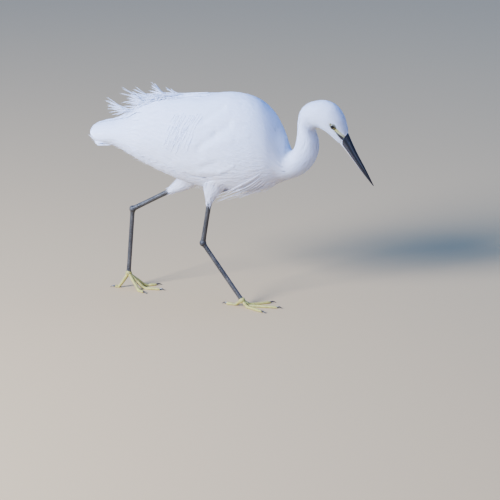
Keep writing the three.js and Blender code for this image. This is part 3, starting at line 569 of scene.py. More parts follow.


# Each mandible's colours at shares of its length, the colour, strength and place of the band along its side (a painted
# sheen on the upper mandible, its real dark part on the lower), and how much light goes into the horn.
MANDIBLES = {
    "upper": dict(
        edge=CULMEN, relief=upper_relief, slot="dark_horn", band=painted_sheen_band, sheen_and_dark_band_colour="#74787f", band_strength=0.22,
        glow=0.0, colours=((0.0, "#1e2125"), (0.12, "#15171a"), (0.45, "#131417"), (1.0, "#101011")),
    ),
    "lower": dict(
        edge=GONYS, relief=lower_relief, slot="pale_horn", band=lower_band, sheen_and_dark_band_colour="#15161a", band_strength=0.97,
        glow=0.15, colours=((0.0, "#f0e6e0"), (0.30, "#e4d8d4"), (0.55, "#b3aaa8"), (0.78, "#66646a"), (1.0, "#1f2022")),
    ),
}
BILL_LENGTH = float(np.linalg.norm(CULMEN[-1] - CULMEN[0]))
ridge_axis = (CULMEN[-1] - CULMEN[0]) / BILL_LENGTH

for name, look in MANDIBLES.items():
    rings = mandible(look["edge"], look["relief"])
    bill = piece(f"mandible_{name}", *shell(rings))
    from_root = places(bill)[:, [0, 2]] - CULMEN[0]
    point_value(bill, "share", np.clip(from_root @ ridge_axis / BILL_LENGTH, 0, 1))
    point_value(bill, "aside", from_root @ np.array([-ridge_axis[1], ridge_axis[0]]) / MM)
    t = np.append(0, np.linspace(0, 1, BILL_RINGS))[:, None]
    point_value(bill, "band", np.append(look["band"](t, BILL_RISE).ravel(), [0, 0]))

    # Horn grown in long fibres: satin, with fine lines along it, and a band along each side: a paler painted sheen on
    # the upper mandible, the real dark part of the lower one.
    finish, tree, output = material(f"bill horn {name}")
    along = add(tree, "Attribute", attribute_name="share")
    aside = add(tree, "Attribute", attribute_name="aside")
    place = add(tree, "TexCoord").outputs["Object"]
    ramp = add(tree, "ValToRGB", {"Fac": along.outputs["Fac"]})
    first, *between, last = look["colours"]
    ramp.color_ramp.elements[0].color = linear(first[1])
    ramp.color_ramp.elements[1].color = linear(last[1])
    for position, colour in between:
        ramp.color_ramp.elements.new(position).color = linear(colour)
    lines = add(tree, "CombineXYZ", {"X": aside.outputs["Fac"], "Y": along.outputs["Fac"]})
    fibre = add(tree, "TexNoise", {"Vector": lines.outputs[0], "Scale": 3.2, "Detail": 4.0, "Roughness": 0.65})
    mottle = add(tree, "TexNoise", {"Vector": place, "Scale": 420.0, "Detail": 3.0})
    tone = add(tree, "Mix", {
        "Factor": 0.35, COLOUR_A: fibre.outputs["Color"], COLOUR_B: mottle.outputs["Color"],
    }, data_type="RGBA")
    shade = add(tree, "Mix", {
        "Factor": 0.4, COLOUR_A: ramp.outputs["Color"], COLOUR_B: tone.outputs[MIXED],
    }, data_type="RGBA", blend_type="SOFT_LIGHT")
    # The band: on the upper mandible a painted sheen, paler than the horn; on the lower one its real dark part.
    band = add(tree, "Attribute", attribute_name="band")
    strength = add(tree, "Math", {0: band.outputs["Fac"], 1: look["band_strength"]}, operation="MULTIPLY")
    banded = add(tree, "Mix", {
        "Factor": strength.outputs[0], COLOUR_A: shade.outputs[MIXED], COLOUR_B: linear(look["sheen_and_dark_band_colour"]),
    }, data_type="RGBA")
    gloss = add(tree, "MapRange", {"Value": fibre.outputs["Fac"], "To Min": 0.40, "To Max": 0.58})
    bump = add(tree, "Bump", {"Height": fibre.outputs["Fac"], "Strength": 0.3, "Distance": 0.0003})
    surface = add(tree, "BsdfPrincipled", {
        "Base Color": banded.outputs[MIXED], "Roughness": gloss.outputs["Result"], "IOR": 1.5,
        "Normal": bump.outputs["Normal"], "Specular IOR Level": 0.25, "Subsurface Weight": look["glow"],
        "Subsurface Scale": 0.001,
    })
    tree.links.new(surface.outputs[0], output.inputs["Surface"])
    bill.data.materials.append(finish)
    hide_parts(f"bill_{name}")

# Body feathers
# Thousands of small white contour feathers in overlapping rows from the bill back: hair-fine on the face, longer and
# looser down the neck, broad and soft on the breast, belly and flanks. Each is one thin vane with split barbs.

draw = np.random.default_rng(7)


def comb(barbs, notch=0.82):
    """Template of one closed vane: places along its shaft, across it from -1 to 1 and under it, its triangles, and
    which points lie on its edge. On each side every barb has a notch and a tip further on, so that the edge is a soft
    saw; the underside is the same fan from a second line of points below the shaft."""
    k = np.arange(barbs)
    upper = np.stack([np.arange(barbs + 1) / barbs, np.zeros(barbs + 1), np.zeros(barbs + 1)], -1)
    lower = np.stack([k / barbs, np.zeros(barbs), np.ones(barbs)], -1)
    below = np.append(barbs + 1 + k, barbs)
    rows, triangles = [], []
    for side, start in ((1, 2 * barbs + 1), (-1, 4 * barbs + 1)):
        rows.append(np.stack([(k + 0.15) / barbs, np.full(barbs, side * notch), np.zeros(barbs)], -1))
        rows.append(np.stack([(k + 0.95) / barbs, np.full(barbs, side * 1.0), np.zeros(barbs)], -1))
        notches, tips = start + k, start + barbs + k
        for shaft, flip in ((np.arange(barbs + 1), side > 0), (below, side < 0)):
            for a, b, c in ((shaft[:-1], notches, tips), (shaft[:-1], tips, shaft[1:]),
                            (shaft[1:-1], tips[:-1], notches[1:])):
                triangles.append(np.stack([a, c, b] if flip else [a, b, c], -1))
        closing = [0, notches[0], below[0]] if side > 0 else [notches[0], 0, below[0]]
        triangles.append(np.array([closing]))
    points = np.concatenate([upper, lower, *rows])
    edge = (np.abs(points[:, 1]) > 0) | (points[:, 0] == 1)
    return points[:, 0], points[:, 1], points[:, 2], np.concatenate(triangles), edge


def vane_width(t):
    """Width of a feather along it: narrow at the root, full from a third on, and rounded off at the tip."""
    return mix(0.45, 1, smooth(t, 0, 0.35)) * np.sqrt(np.maximum(1 - 0.94 * smooth(t, 0.5, 1.0) ** 2, 0.02))


PATCH = 0.003  # side of each feather's patch on the skin's unwrap


def gather(coat, points, triangles, edge, barb, tip, root_uv, local):
    """Add a batch of feathers to a coat: points [feather, point, xyz], its template's triangles and edge, the place
    along the barbs and the shaft, and the root's place on the skin's unwrap with the place inside its patch."""
    count, size = points.shape[:2]
    first = sum(len(p) for p in coat["points"])
    coat["points"].append(points.reshape(-1, 3))
    coat["faces"].append((triangles[None] + first + (np.arange(count) * size)[:, None, None]).reshape(-1, 3))
    coat["edge"].append(np.broadcast_to(edge, (count, size)).ravel())
    coat["barb"].append(np.broadcast_to(barb, (count, size)).ravel())
    coat["tip"].append(np.broadcast_to(tip, (count, size)).ravel())
    coat["uv"].append((root_uv[:, None, :] + PATCH * (local - 0.5)).reshape(-1, 2))
    coat["painted_sky_and_bounce"].append(np.repeat(painted_sky_and_bounce(points.mean(1)), size))


def empty_coat():
    """Lists that batches of feathers are added to."""
    return {"points": [], "faces": [], "edge": [], "barb": [], "tip": [], "uv": [], "painted_sky_and_bounce": []}


def unwrap(station, angle, strip=0):
    """Place on the skin's unwrap: the share of the bird's length, and the turn round it, with a strip of the square
    for each thigh."""
    if strip:
        return np.stack([0.02 + 0.4 * station, 0.80 + 0.08 * strip + 0.05 * (angle % (2 * np.pi)) / (2 * np.pi)], -1)
    return np.stack([0.01 + 0.98 * station / BILL_ROOT, 0.02 + 0.80 * (angle % (2 * np.pi)) / (2 * np.pi)], -1)


# Soft folds of the closed wing, each from a station and turn (degrees) to another, with its width and height in mm.
FOLDS = [
    (9.1, 59, 8.58, 71.5, 5.2, -1.7), (8.58, 71.5, 7.95, 88, 3.8, -1.7), (8.25, 88, 9.2, 76, 5.5, 0.6),
    (9.2, 76, 10.1, 69, 6.0, 0.5), (6.2, 0, 7.9, 0, 16.0, -2.2), (8.10, 54, 8.70, 36, 4.2, -1.3),
    (7.9, 64, 9.0, 44, 4.5, 0.6), (10.5, 92, 11.2, 76, 6.5, -0.8), (9.7, 108, 10.4, 96, 4.0, -0.8),
    (8.08, 112, 8.6, 104, 3.2, -1.0), (8.0, 105, 8.7, 98, 4.5, 0.4), (6.9, 102, 8.0, 95, 6.0, -0.6),
    (5.2, 96, 6.8, 78, 9.0, 0.6), (4.2, 60, 5.8, 48, 7.0, -0.5), (7.9, 120, 8.7, 117, 3.0, 1.1),
    (8.7, 117, 9.3, 108, 3.0, 1.1),
]
MM_PER_STATION, MM_PER_RADIAN = 36.0, 48.0


def relief_of_plumage(station, angle):
    """Height of the folds at a place, on the trunk laid out flat: Gaussian across each fold's line and past its
    ends."""
    spot = np.stack(np.broadcast_arrays(station * MM_PER_STATION, np.abs(angle) * MM_PER_RADIAN), -1)
    height = np.zeros(spot.shape[:-1])
    for *line, wide, high in FOLDS:
        start, end = (np.array([line[n] * MM_PER_STATION, math.radians(line[n + 1]) * MM_PER_RADIAN]) for n in (0, 2))
        reach = np.linalg.norm(end - start)
        ahead = (end - start) / reach
        off = spot - start
        down, aside = off @ ahead, off @ np.array([-ahead[1], ahead[0]])
        past = np.maximum(np.abs(down - reach / 2) - reach / 2, 0)
        height += high * np.exp(-(aside**2 + past**2) / wide**2)
    return height * MM


def lay(coat, surface, roots, length, width, sink, rise, barbs, stray=0.08, lift=0.0, camber=0.06, strip=0,
        swing=0.0, thick=0.00018, ragged=0.035, swell=None, taper=0.0):
    """Lay feathers along a surface from their roots towards lower stations. A point of a vane stands over the surface
    by sink + rise * t - camber * half width * x^2, lifts away by lift * t^3, and its underside lies thick lower. The
    vane narrows to the share 1 - taper of its width at the tip. Lengths vary by 14 percent and widths by 12. Sizes are
    in metres."""
    t, x, under, triangles, edge = comb(barbs)
    count = len(roots)
    station, angle = roots[:, 0:1], roots[:, 1:2]
    near = 0.02
    downwards = surface(station + near, angle) - surface(station - near, angle)
    sideways = surface(station, angle + near) - surface(station, angle - near)
    per_station, per_angle = (np.linalg.norm(way, axis=-1) / (2 * near) for way in (downwards, sideways))
    length = (length * draw.uniform(0.86, 1.14, count))[:, None]
    half = (width * draw.uniform(0.88, 1.12, count))[:, None] / 2
    turn = (draw.normal(0, stray, count) + swing)[:, None]
    off = x * half * vane_width(t) * (1 - taper * smooth(t, 0.2, 1.0)) * (1 + draw.normal(0, ragged, (count, len(x))))
    down = t * length
    along = station - (down * np.cos(turn) - off * np.sin(turn)) / np.maximum(per_station, 1e-5)
    about = angle + (down * np.sin(turn) + off * np.cos(turn)) / np.maximum(per_angle, 2e-3)
    tilt = draw.normal(0, 0.022, (count, 1))
    sink = np.broadcast_to(np.asarray(sink, float), (count,))[:, None]
    height = sink + rise * t - camber * half * x**2 + tilt * off + lift * t**3 - thick * under
    height = height + draw.normal(0, 0.00005, (count, 1)) * t
    if swell is not None:
        height = height + swell(along, about)
    points = lifted(surface, along, about, height)
    gather(coat, points, triangles, edge, (down - np.abs(off) * 1.1) / MM, t, unwrap(roots[:, 0], roots[:, 1], strip),
           np.stack([np.broadcast_to((x + 1) / 2, off.shape), np.broadcast_to(t, off.shape)], -1))


def rows_of_roots(surface, first, last, pitches, keep, jitter=0.22):
    """Roots in rows across a surface: the rows lie a pitch apart along it, each row's roots a pitch apart round it,
    alternate rows shifted by half, all jittered, and only those that keep allows stay. The pitch goes through pitches,
    a list of places along the surface and one of millimetres."""
    def pitch(at):
        """Distance between roots at a place along the surface."""
        return np.interp(at, *pitches) * MM

    fine = np.linspace(first, last, 400)
    turn = np.linspace(0, 2 * np.pi, 121)
    grid = surface(fine[:, None], turn[None, :])
    step = np.linalg.norm(np.diff(grid, axis=0), axis=-1).mean(1)
    length = np.concatenate([[0], np.cumsum(step / pitch((fine[1:] + fine[:-1]) / 2))])
    made = []
    for n, at in enumerate(np.interp(np.arange(0.5, length[-1]), length, fine)):
        ring = surface(np.full(turn.shape, at), turn)
        reach = np.concatenate([[0], np.cumsum(np.linalg.norm(np.diff(ring, axis=0), axis=-1))])
        count = max(int(reach[-1] / pitch(at)), 4)
        spots = (np.arange(count) + 0.5 * (n % 2) + draw.uniform(-jitter, jitter, count)) / count
        made.append(np.stack([np.full(count, at), np.interp(spots % 1 * reach[-1], reach, turn)], -1))
    roots = np.concatenate(made)
    roots[:, 0] += draw.uniform(-jitter, jitter, len(roots)) * (last - first) / max(len(made), 1)
    roots[:, 1] = (roots[:, 1] + np.pi) % (2 * np.pi) - np.pi
    return roots[keep(roots[:, 0], roots[:, 1])]


def anywhere(station, angle):
    """True for all roots."""
    return np.full(len(station), True)


# Plumage of a white heron: soft matt barbs with a little sheen, ribbed finely. Its colour holds painted light: a
# blue-white of painted sky light above, a warmer white of painted bounce light and shade below, and painted shade that
# leaves each feather a shade greyer at its root than at its tip.
feather_finish, tree, output = material("white heron feather")
barb = add(tree, "Attribute", attribute_name="barb")
# Painted light: 0 gives the blue-white of painted sky light above, 1 the warmer, slightly darker white of painted
# bounce light and shade below.
painted_tone_share = add(tree, "Attribute", attribute_name="painted_sky_and_bounce")
tip = add(tree, "Attribute", attribute_name="tip")
BARB_PITCH = 0.7  # mm; real barbs lie 0.2 mm apart, too fine to show in a close view
phase = add(tree, "Math", {0: barb.outputs["Fac"], 1: 2 * math.pi / BARB_PITCH}, operation="MULTIPLY")
rib = add(tree, "Math", {0: phase.outputs[0]}, operation="SINE")
cloud = add(tree, "TexNoise", {"Vector": add(tree, "TexCoord").outputs["Object"], "Scale": 70.0, "Detail": 3.0})
painted_sky_and_bounce_tint = add(tree, "Mix", {
    "Factor": painted_tone_share.outputs["Fac"], COLOUR_A: linear("#ebf2ff"), COLOUR_B: linear("#f0e6e3"),
}, data_type="RGBA")
soft = add(tree, "Mix", {
    "Factor": cloud.outputs["Fac"], COLOUR_A: painted_sky_and_bounce_tint.outputs[MIXED], COLOUR_B: linear("#e6ecf8"),
}, data_type="RGBA")
# Painted shade: each feather is a shade greyer towards its root, where the feathers over it would shade it, than at its
# tip.
painted_root_shade = add(tree, "MapRange", {"Value": tip.outputs["Fac"], "From Max": 0.7, "To Min": 0.55, "To Max": 0.0})
whole = add(tree, "Mix", {
    "Factor": painted_root_shade.outputs["Result"], COLOUR_A: soft.outputs[MIXED], COLOUR_B: linear("#d2d7e2"),
}, data_type="RGBA")
bump = add(tree, "Bump", {"Height": rib.outputs[0], "Strength": 0.25, "Distance": 0.00008})
surface = add(tree, "BsdfPrincipled", {
    "Base Color": whole.outputs[MIXED], "Roughness": 0.8, "Specular IOR Level": 0.2, "Sheen Weight": 0.2,
    "Sheen Roughness": 0.5, "Subsurface Weight": 0.3, "Subsurface Radius": (1.0, 0.97, 0.94),
    "Subsurface Scale": 0.003, "Normal": bump.outputs["Normal"],
})
tree.links.new(surface.outputs[0], output.inputs["Surface"])


def finish_coat(coat, name, *replaced):
    """Turn gathered feathers into one piece with its attributes, its OFBake map and a crisp edge round each vane."""
    made = piece(name, np.concatenate(coat["points"]), np.concatenate(coat["faces"]))
    for value in ("barb", "tip", "painted_sky_and_bounce"):
        point_value(made, value, np.concatenate(coat[value]))
    corners = np.empty(len(made.data.loops), np.int32)
    made.data.loops.foreach_get("vertex_index", corners)
    layer = made.data.uv_layers.new(name="OFBake")
    layer.uv.foreach_set("vector", np.concatenate(coat["uv"])[corners].astype(np.float32).ravel())
    ends = np.empty(len(made.data.edges) * 2, np.int32)
    made.data.edges.foreach_get("vertices", ends)
    sharp = np.concatenate(coat["edge"])[ends].reshape(-1, 2).all(1)
    made.data.attributes.new("sharp_edge", "BOOLEAN", "EDGE").data.foreach_set("value", sharp)
    made.data.materials.append(feather_finish)
    if replaced:
        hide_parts(*replaced)


def clear_of_face(station, angle):
    """True for roots whose feather would not cover the eye, the bare face, the mouth or the bill."""
    spot = outline(station, angle)
    forward, up = from_eye(spot)
    on_side = np.abs(spot[:, 1]) > 0.005
    eye_zone = np.hypot((forward - 2.0) / 7.4, up / 2.85) < 1
    low_edge = mouth_middle(forward) - mix(0.8, 2.6, smooth(forward, 6, 22))
    high_edge = mix(2.9, 3.6, smooth(forward, 4, 18)) + 0.35 * np.sin(forward * 2.3) + 0.2 * np.sin(forward * 5.1)
    band = (forward > 0) & (up > low_edge) & (up < high_edge)
    return ~(on_side & (station > 22.5) & (eye_zone | band))


head_coat = empty_coat()
roots = rows_of_roots(outline, HEAD_ROOT, 26.93, ([22, 25, 27], [1.75, 1.25, 0.95]), clear_of_face)
share = smooth(roots[:, 0], 26.9, 22.5)
lay(head_coat, outline, roots, mix(3.8, 8.5, share) * MM, mix(0.8, 1.5, share) * MM, -0.55 * MM, 0.6 * MM, 3,
    stray=0.10, thick=0.00008, ragged=0.08, taper=0.6)


def chin(along, turn):
    """Surface of the lower mandible's root: tenths of the bill's length along it, running on straight into the head,
    and the turn from its lower edge towards the right."""
    along, turn = np.broadcast_arrays(np.asarray(along, float), np.asarray(turn, float))
    within = np.clip(along / 10, 0, 1)

    def at(t):
        """The half oval of the mandible at a share of its length."""
        edge, top = through(GONYS, t * 3), through(CULMEN, t * 3)
        line = mix(edge, top, 1 - MOUTH)
        spot = line + (edge - line) * np.cos(turn)[..., None]
        half = mix(*BILL_HALF, t**0.8) * np.sin(turn) * (1 - 0.25 * np.cos(turn))
        return np.stack([spot[..., 0], -half, spot[..., 1]], -1)

    return at(within) + (at(within + 0.02) - at(within)) * ((along / 10 - within) / 0.02)[..., None]


CHIN_END = 1.15


def on_chin(along, turn):
    """True for roots on the wedge of feathers that runs out to a point on the lower mandible."""
    return np.abs(turn) < 1.42 - 1.05 * np.clip(along / CHIN_END, 0, 1)


roots = rows_of_roots(chin, -0.3, CHIN_END, ([0, 1], [0.75, 0.75]), on_chin)
lay(head_coat, chin, roots, 3.4 * MM, 0.75 * MM, 0.02 * MM, 0.35 * MM, 3, stray=0.10, thick=0.00008, ragged=0.08,
    taper=0.6)
finish_coat(head_coat, "face_feathers")

neck_coat = empty_coat()
roots = rows_of_roots(outline, 12.6, 22.2, ([12.6, 18, 22], [3.3, 2.5, 1.8]), anywhere)
share = smooth(roots[:, 0], 22, 13)
lay(neck_coat, outline, roots, mix(9, 18, share) * MM, mix(1.6, 3.6, share) * MM, -0.85 * MM, 0.95 * MM, 4,
    stray=0.08, lift=0.0002, thick=0.0001, ragged=0.06, taper=0.5)
finish_coat(neck_coat, "neck_feathers")


def wing_edge(station):
    """Angle of the folded wing's lower edge, low along the flank and swept up at the shoulder."""
    return np.radians(np.interp(station, [0, 3.4, 5, 6.5, 7.3, 8.3, 8.8, 9.4, 10.2, SHOULDER],
                                [118, 116, 122, 127, 127.5, 125, 120.5, 112.5, 99, 84]))


def below_wing(station, angle):
    """True where the breast, belly and flanks show: below and ahead of the folded wing."""
    return (np.abs(angle) > wing_edge(station) - 0.16) | (station > SHOULDER - 0.5)


def tucked(station, angle):
    """How far the flank's feathers are pressed in under the wing's lower edge, in metres: a dip just below it, deep
    over the thigh and slight behind and before it."""
    past = np.abs(angle) - wing_edge(station)
    deep = 0.5 * smooth(station, 3, 5.5) + 2.9 * smooth(station, 7.6, 8.2)
    dip = np.exp(-((np.minimum(past - 0.02, 0) / 0.3) ** 2) - (np.maximum(past - 0.02, 0) / 0.11) ** 2)
    return deep * MM * dip * (1 - smooth(station, 9.2, 9.9))


belly_coat = empty_coat()
roots = rows_of_roots(outline, 1.6, 13.0, ([1.6, 8, 13], [4.7, 4.4, 3.6]), below_wing)
share = smooth(roots[:, 0], 13, 9)
lay(belly_coat, outline, roots, mix(15, 26, share) * MM, mix(4.2, 8.0, share) * MM,
    -1.2 * MM - tucked(roots[:, 0], roots[:, 1]), 1.2 * MM, 5, stray=0.09, lift=0.0003, thick=0.00014, taper=0.25)
rear = roots[(roots[:, 0] < 6.5) & (draw.uniform(0, 1, len(roots)) < 0.16)]
lay(belly_coat, outline, rear, 25 * MM, 3.2 * MM, -0.8 * MM, 1.2 * MM, 6, stray=0.26, lift=0.0018, thick=0.00014,
    ragged=0.10, taper=0.7)
# Loose, downy tufts that hang along the rear of the flanks and between the thighs: first and last station, first and
# last turn in degrees, number, length in millimetres, and how far they lift and stray.
TUFTS = ((4.7, 7.4, 119, 141, 120, 19, 0.0032, 0.35), (7.3, 8.8, 150, 180, 80, 16, 0.0055, 0.6))
for low, high, near, far, count, length, lift, stray in TUFTS:
    station = draw.uniform(low, high, count)
    turn = np.radians(draw.uniform(near, far, count)) * draw.choice([-1, 1], count)
    lay(belly_coat, outline, np.stack([station, turn], -1), length * MM, 1.9 * MM, -0.6 * MM, 0.9 * MM, 5, stray=stray,
        lift=lift, thick=0.00012, ragged=0.12, taper=0.85)
finish_coat(belly_coat, "breast_and_belly_feathers")


def blade(coat, path, out, half, barbs, uv, camber=0.35, thick=0.0002):
    """A long narrow vane on a smooth path of points in metres, facing out: across it a parabola that drops by camber
    times the half width at its edges. Its half width swells to the middle, tapers to the tip and is a little
    ragged."""
    t, x, under, triangles, edge = comb(barbs, 0.75)
    here, ahead, _, _ = tube_frame(path, np.clip(t, 0.001, 0.999) * (len(path) - 1))
    aside = np.cross(ahead, out)
    aside /= np.linalg.norm(aside, axis=1, keepdims=True)
    face = np.cross(aside, ahead)
    ragged = 1 + draw.normal(0, 0.06, len(t))
    reach = half * mix(0.5, 1, smooth(t, 0, 0.3)) * (1 - 0.9 * smooth(t, 0.45, 1.0)) * ragged
    points = here + aside * (x * reach)[:, None] - face * (camber * reach * x**2 + thick * under)[:, None]
    length = np.linalg.norm(path[-1] - path[0]) / MM
    gather(coat, points[None], triangles, edge, (t * length - np.abs(x) * 3)[None], 0.3 + 0.7 * t, uv,
           np.stack([(x + 1) / 2, t], -1)[None])


def on_trunk(points):
    """Station and turn of the trunk under points in metres, where its stations stand nearly upright, and how far out
    the points lie as a share of the trunk's radius."""
    fine = np.linspace(4, 12, 300)
    row = through(STATIONS, fine)
    station = np.interp(points[..., 0], (row[:, 0] + row[:, 2]) / 2, fine)
    row = through(STATIONS, station)
    up = (points[..., 2] - (row[..., 1] + row[..., 3]) / 2) / ((row[..., 1] - row[..., 3]) / 2)
    across = points[..., 1] / row[..., 4]
    return station, np.arctan2(across, up), np.hypot(across, up)


LOOSE_ON_THIGH, OVER_THIGH = 110, 220
for name, leg in LEGS.items():
    thigh_coat = empty_coat()
    muscle = thigh_surface(leg)
    roots = rows_of_roots(muscle, 0.06, 1.9, ([0.1, 1.9], [1.7, 3.2]), anywhere)
    share = smooth(roots[:, 0], 0.1, 1.6)
    strip = 1 if name == "left" else 2
    lay(thigh_coat, muscle, roots, mix(7, 14, share) * MM, mix(1.7, 3.8, share) * MM, -0.8 * MM, 1.0 * MM, 4,
        stray=0.15, lift=0.0004, strip=strip, ragged=0.08, thick=0.00012, taper=0.5)
    loose = np.stack([draw.uniform(0.10, 0.9, LOOSE_ON_THIGH), draw.uniform(-np.pi, np.pi, LOOSE_ON_THIGH)], -1)
    lay(thigh_coat, muscle, loose, 11 * MM, 1.3 * MM, -0.2 * MM, 0.6 * MM, 5, stray=0.24, lift=0.0012, strip=strip,
        ragged=0.12, thick=0.0001, taper=0.85)
    # Feathers of the flank that run down over the top of the thigh, from a root on the trunk over the seam, where the
    # thigh's surface sinks into the trunk.
    for turn in draw.uniform(0, 2 * np.pi, OVER_THIGH):
        along = np.linspace(0.3, 1.98, 120)
        station, angle, share = on_trunk(muscle(along, np.full(len(along), turn)))
        sunk = int(np.argmax(share < 1.0)) if (share < 1.0).any() else len(along) - 1
        station, angle, seam = station[sunk], angle[sunk], along[sunk]
        over = math.copysign(draw.uniform(0.02, 0.16), angle)
        if abs(angle - over) < wing_edge(station) + 0.06:
            continue
        ahead = draw.uniform(0.2, 0.5)
        first = lifted(outline, np.array(station + ahead), np.array(angle - over), np.array(-1.6 * MM))
        second = lifted(outline, np.array(station + ahead * 0.4), np.array(angle - over * 0.5), np.array(0.2 * MM))
        low = seam - draw.uniform(0.10, 0.36)
        third = lifted(muscle, np.array(mix(seam, low, 0.45)), np.array(turn), np.array(0.5 * MM))
        last = lifted(muscle, np.array(low), np.array(turn + draw.normal(0, 0.12)), np.array(0.3 * MM))
        out = third - muscle(np.array(seam), np.array(turn + np.pi))
        blade(thigh_coat, np.stack([first, second, third, last]), out, draw.uniform(1.1, 1.9) * MM, 6,
              unwrap(np.array([station]), np.array([angle])), camber=0.15)
    finish_coat(thigh_coat, f"thigh_feathers_{name}")

# Folded wings
# Each wing lies closed over the flank: a bed of small feathers under rows of coverts that lengthen backwards, then
# the long secondaries and tertials, with the tips of the primaries under them at the rear.


def mantle_edge(station):
    """Angle from the back at which the wing starts: 22 degrees ahead, nearly on the midline behind."""
    return np.radians(mix(2, 22, smooth(station, 4, 5.8)))


QUILL = 0.0007  # width of the quill of a long feather


def vanes(coat, start, end, spread, rise, barbs, side, widen, tilt=0.0008):
    """Long feathers along the outline, each from a root [station, angle] to a tip, with a quill along its middle. The
    width is an angle that grows to widen times itself, the height goes from rise[0] to rise[1], and the lower edge
    stands out by tilt."""
    t, x, under, triangles, edge = comb(barbs, 0.93)
    count = len(start)
    half = np.asarray(spread)[:, None] / 2

    def at(down, across, above):
        """Points of each feather at shares along and across it, and a height over its face."""
        off = across * half * vane_width(down) * mix(1, widen, down)
        path = mix(start[:, None, :], end[:, None, :], down[None, :, None])
        angle = side * path[..., 1] + off
        height = mix(rise[0], rise[1], down) + side * across * tilt / 2 - 0.00025 * across**2 + above
        return lifted(outline, path[..., 0], angle, height + relief_of_plumage(path[..., 0], angle))

    points = at(t, x * (1 + draw.normal(0, 0.012, (count, len(x)))), -0.00035 * under)
    length = np.linalg.norm(points[:, barbs] - points[:, 0], axis=-1)[:, None]
    uv = unwrap(start[:, 0], side * start[:, 1])
    gather(coat, points, triangles, edge, (t * length) / MM - np.abs(x) * 6, t, uv,
           np.stack([np.broadcast_to((x + 1) / 2, points.shape[:2]), np.broadcast_to(t, points.shape[:2])], -1))
    steps = np.linspace(0.02, 0.93, 24)
    add_hairs(coat, at(steps, 0 * steps, 0.00012), QUILL, uv)


def hairs(lines, width, slim=0.85):
    """Closed tapered filaments along lines of points [filament, step, xyz]: at each step a triangle across the line,
    shrinking by slim to a point. Returns points [filament, point, xyz] and the triangles of one."""
    count, steps = lines.shape[:2]
    ahead = np.gradient(lines, axis=1)
    ahead /= np.maximum(np.linalg.norm(ahead, axis=-1, keepdims=True), 1e-9)
    aside = np.cross(ahead, [0.12, 0.05, 1.0])
    aside /= np.maximum(np.linalg.norm(aside, axis=-1, keepdims=True), 1e-9)
    over = np.cross(aside, ahead)
    thick = (width * (1 - slim * np.linspace(0, 1, steps)))[None, :, None, None] / 2
    corners = np.stack([over, aside - over * 0.5, -aside - over * 0.5], 2)
    points = (lines[:, :, None] + corners * thick)[:, :-1].reshape(count, -1, 3)
    points = np.concatenate([points, lines[:, -1:]], 1)
    i, j = np.arange(steps - 2)[:, None] * 3, np.arange(3)[None, :]
    k = (j + 1) % 3
    last = (steps - 2) * 3
    faces = np.concatenate([
        np.stack([i + j, i + k, i + 3 + k], -1).reshape(-1, 3),
        np.stack([i + j, i + 3 + k, i + 3 + j], -1).reshape(-1, 3),
        [(last + n, last + (n + 1) % 3, last + 3) for n in range(3)],
        [(2, 1, 0)],
    ])
    return points, faces[:, ::-1] if inside_out(points[0], faces) else faces


def add_hairs(coat, lines, width, root_uv, slim=0.85):
    """Add filaments to a coat, each with its patch at its root's place."""
    points, faces = hairs(lines, width, slim)
    size = points.shape[1]
    share = np.linspace(0, 1, size)
    local = np.stack([np.full((len(points), size), 0.5), np.broadcast_to(share, (len(points), size))], -1)
    gather(coat, points, faces, np.zeros(size, bool), np.zeros(size), 0.4 + 0.6 * share, root_uv, local)


def fan(count, root, tip, root_angle, tip_angle, overlap, power=1.0):
    """Roots and tips of a tier of feathers side by side, from the back down to the wing's lower edge, and widths."""
    u = np.linspace(0, 1, count)
    start = np.stack([mix(*root, u), np.radians(mix(*root_angle, u))], -1)
    end = np.stack([mix(*tip, u**power) + draw.normal(0, 0.04, count), np.radians(mix(*tip_angle, u))], -1)
    spread = np.radians(root_angle[1] - root_angle[0]) / (count - 1) * overlap * draw.uniform(0.96, 1.04, count)
    return start, end, spread


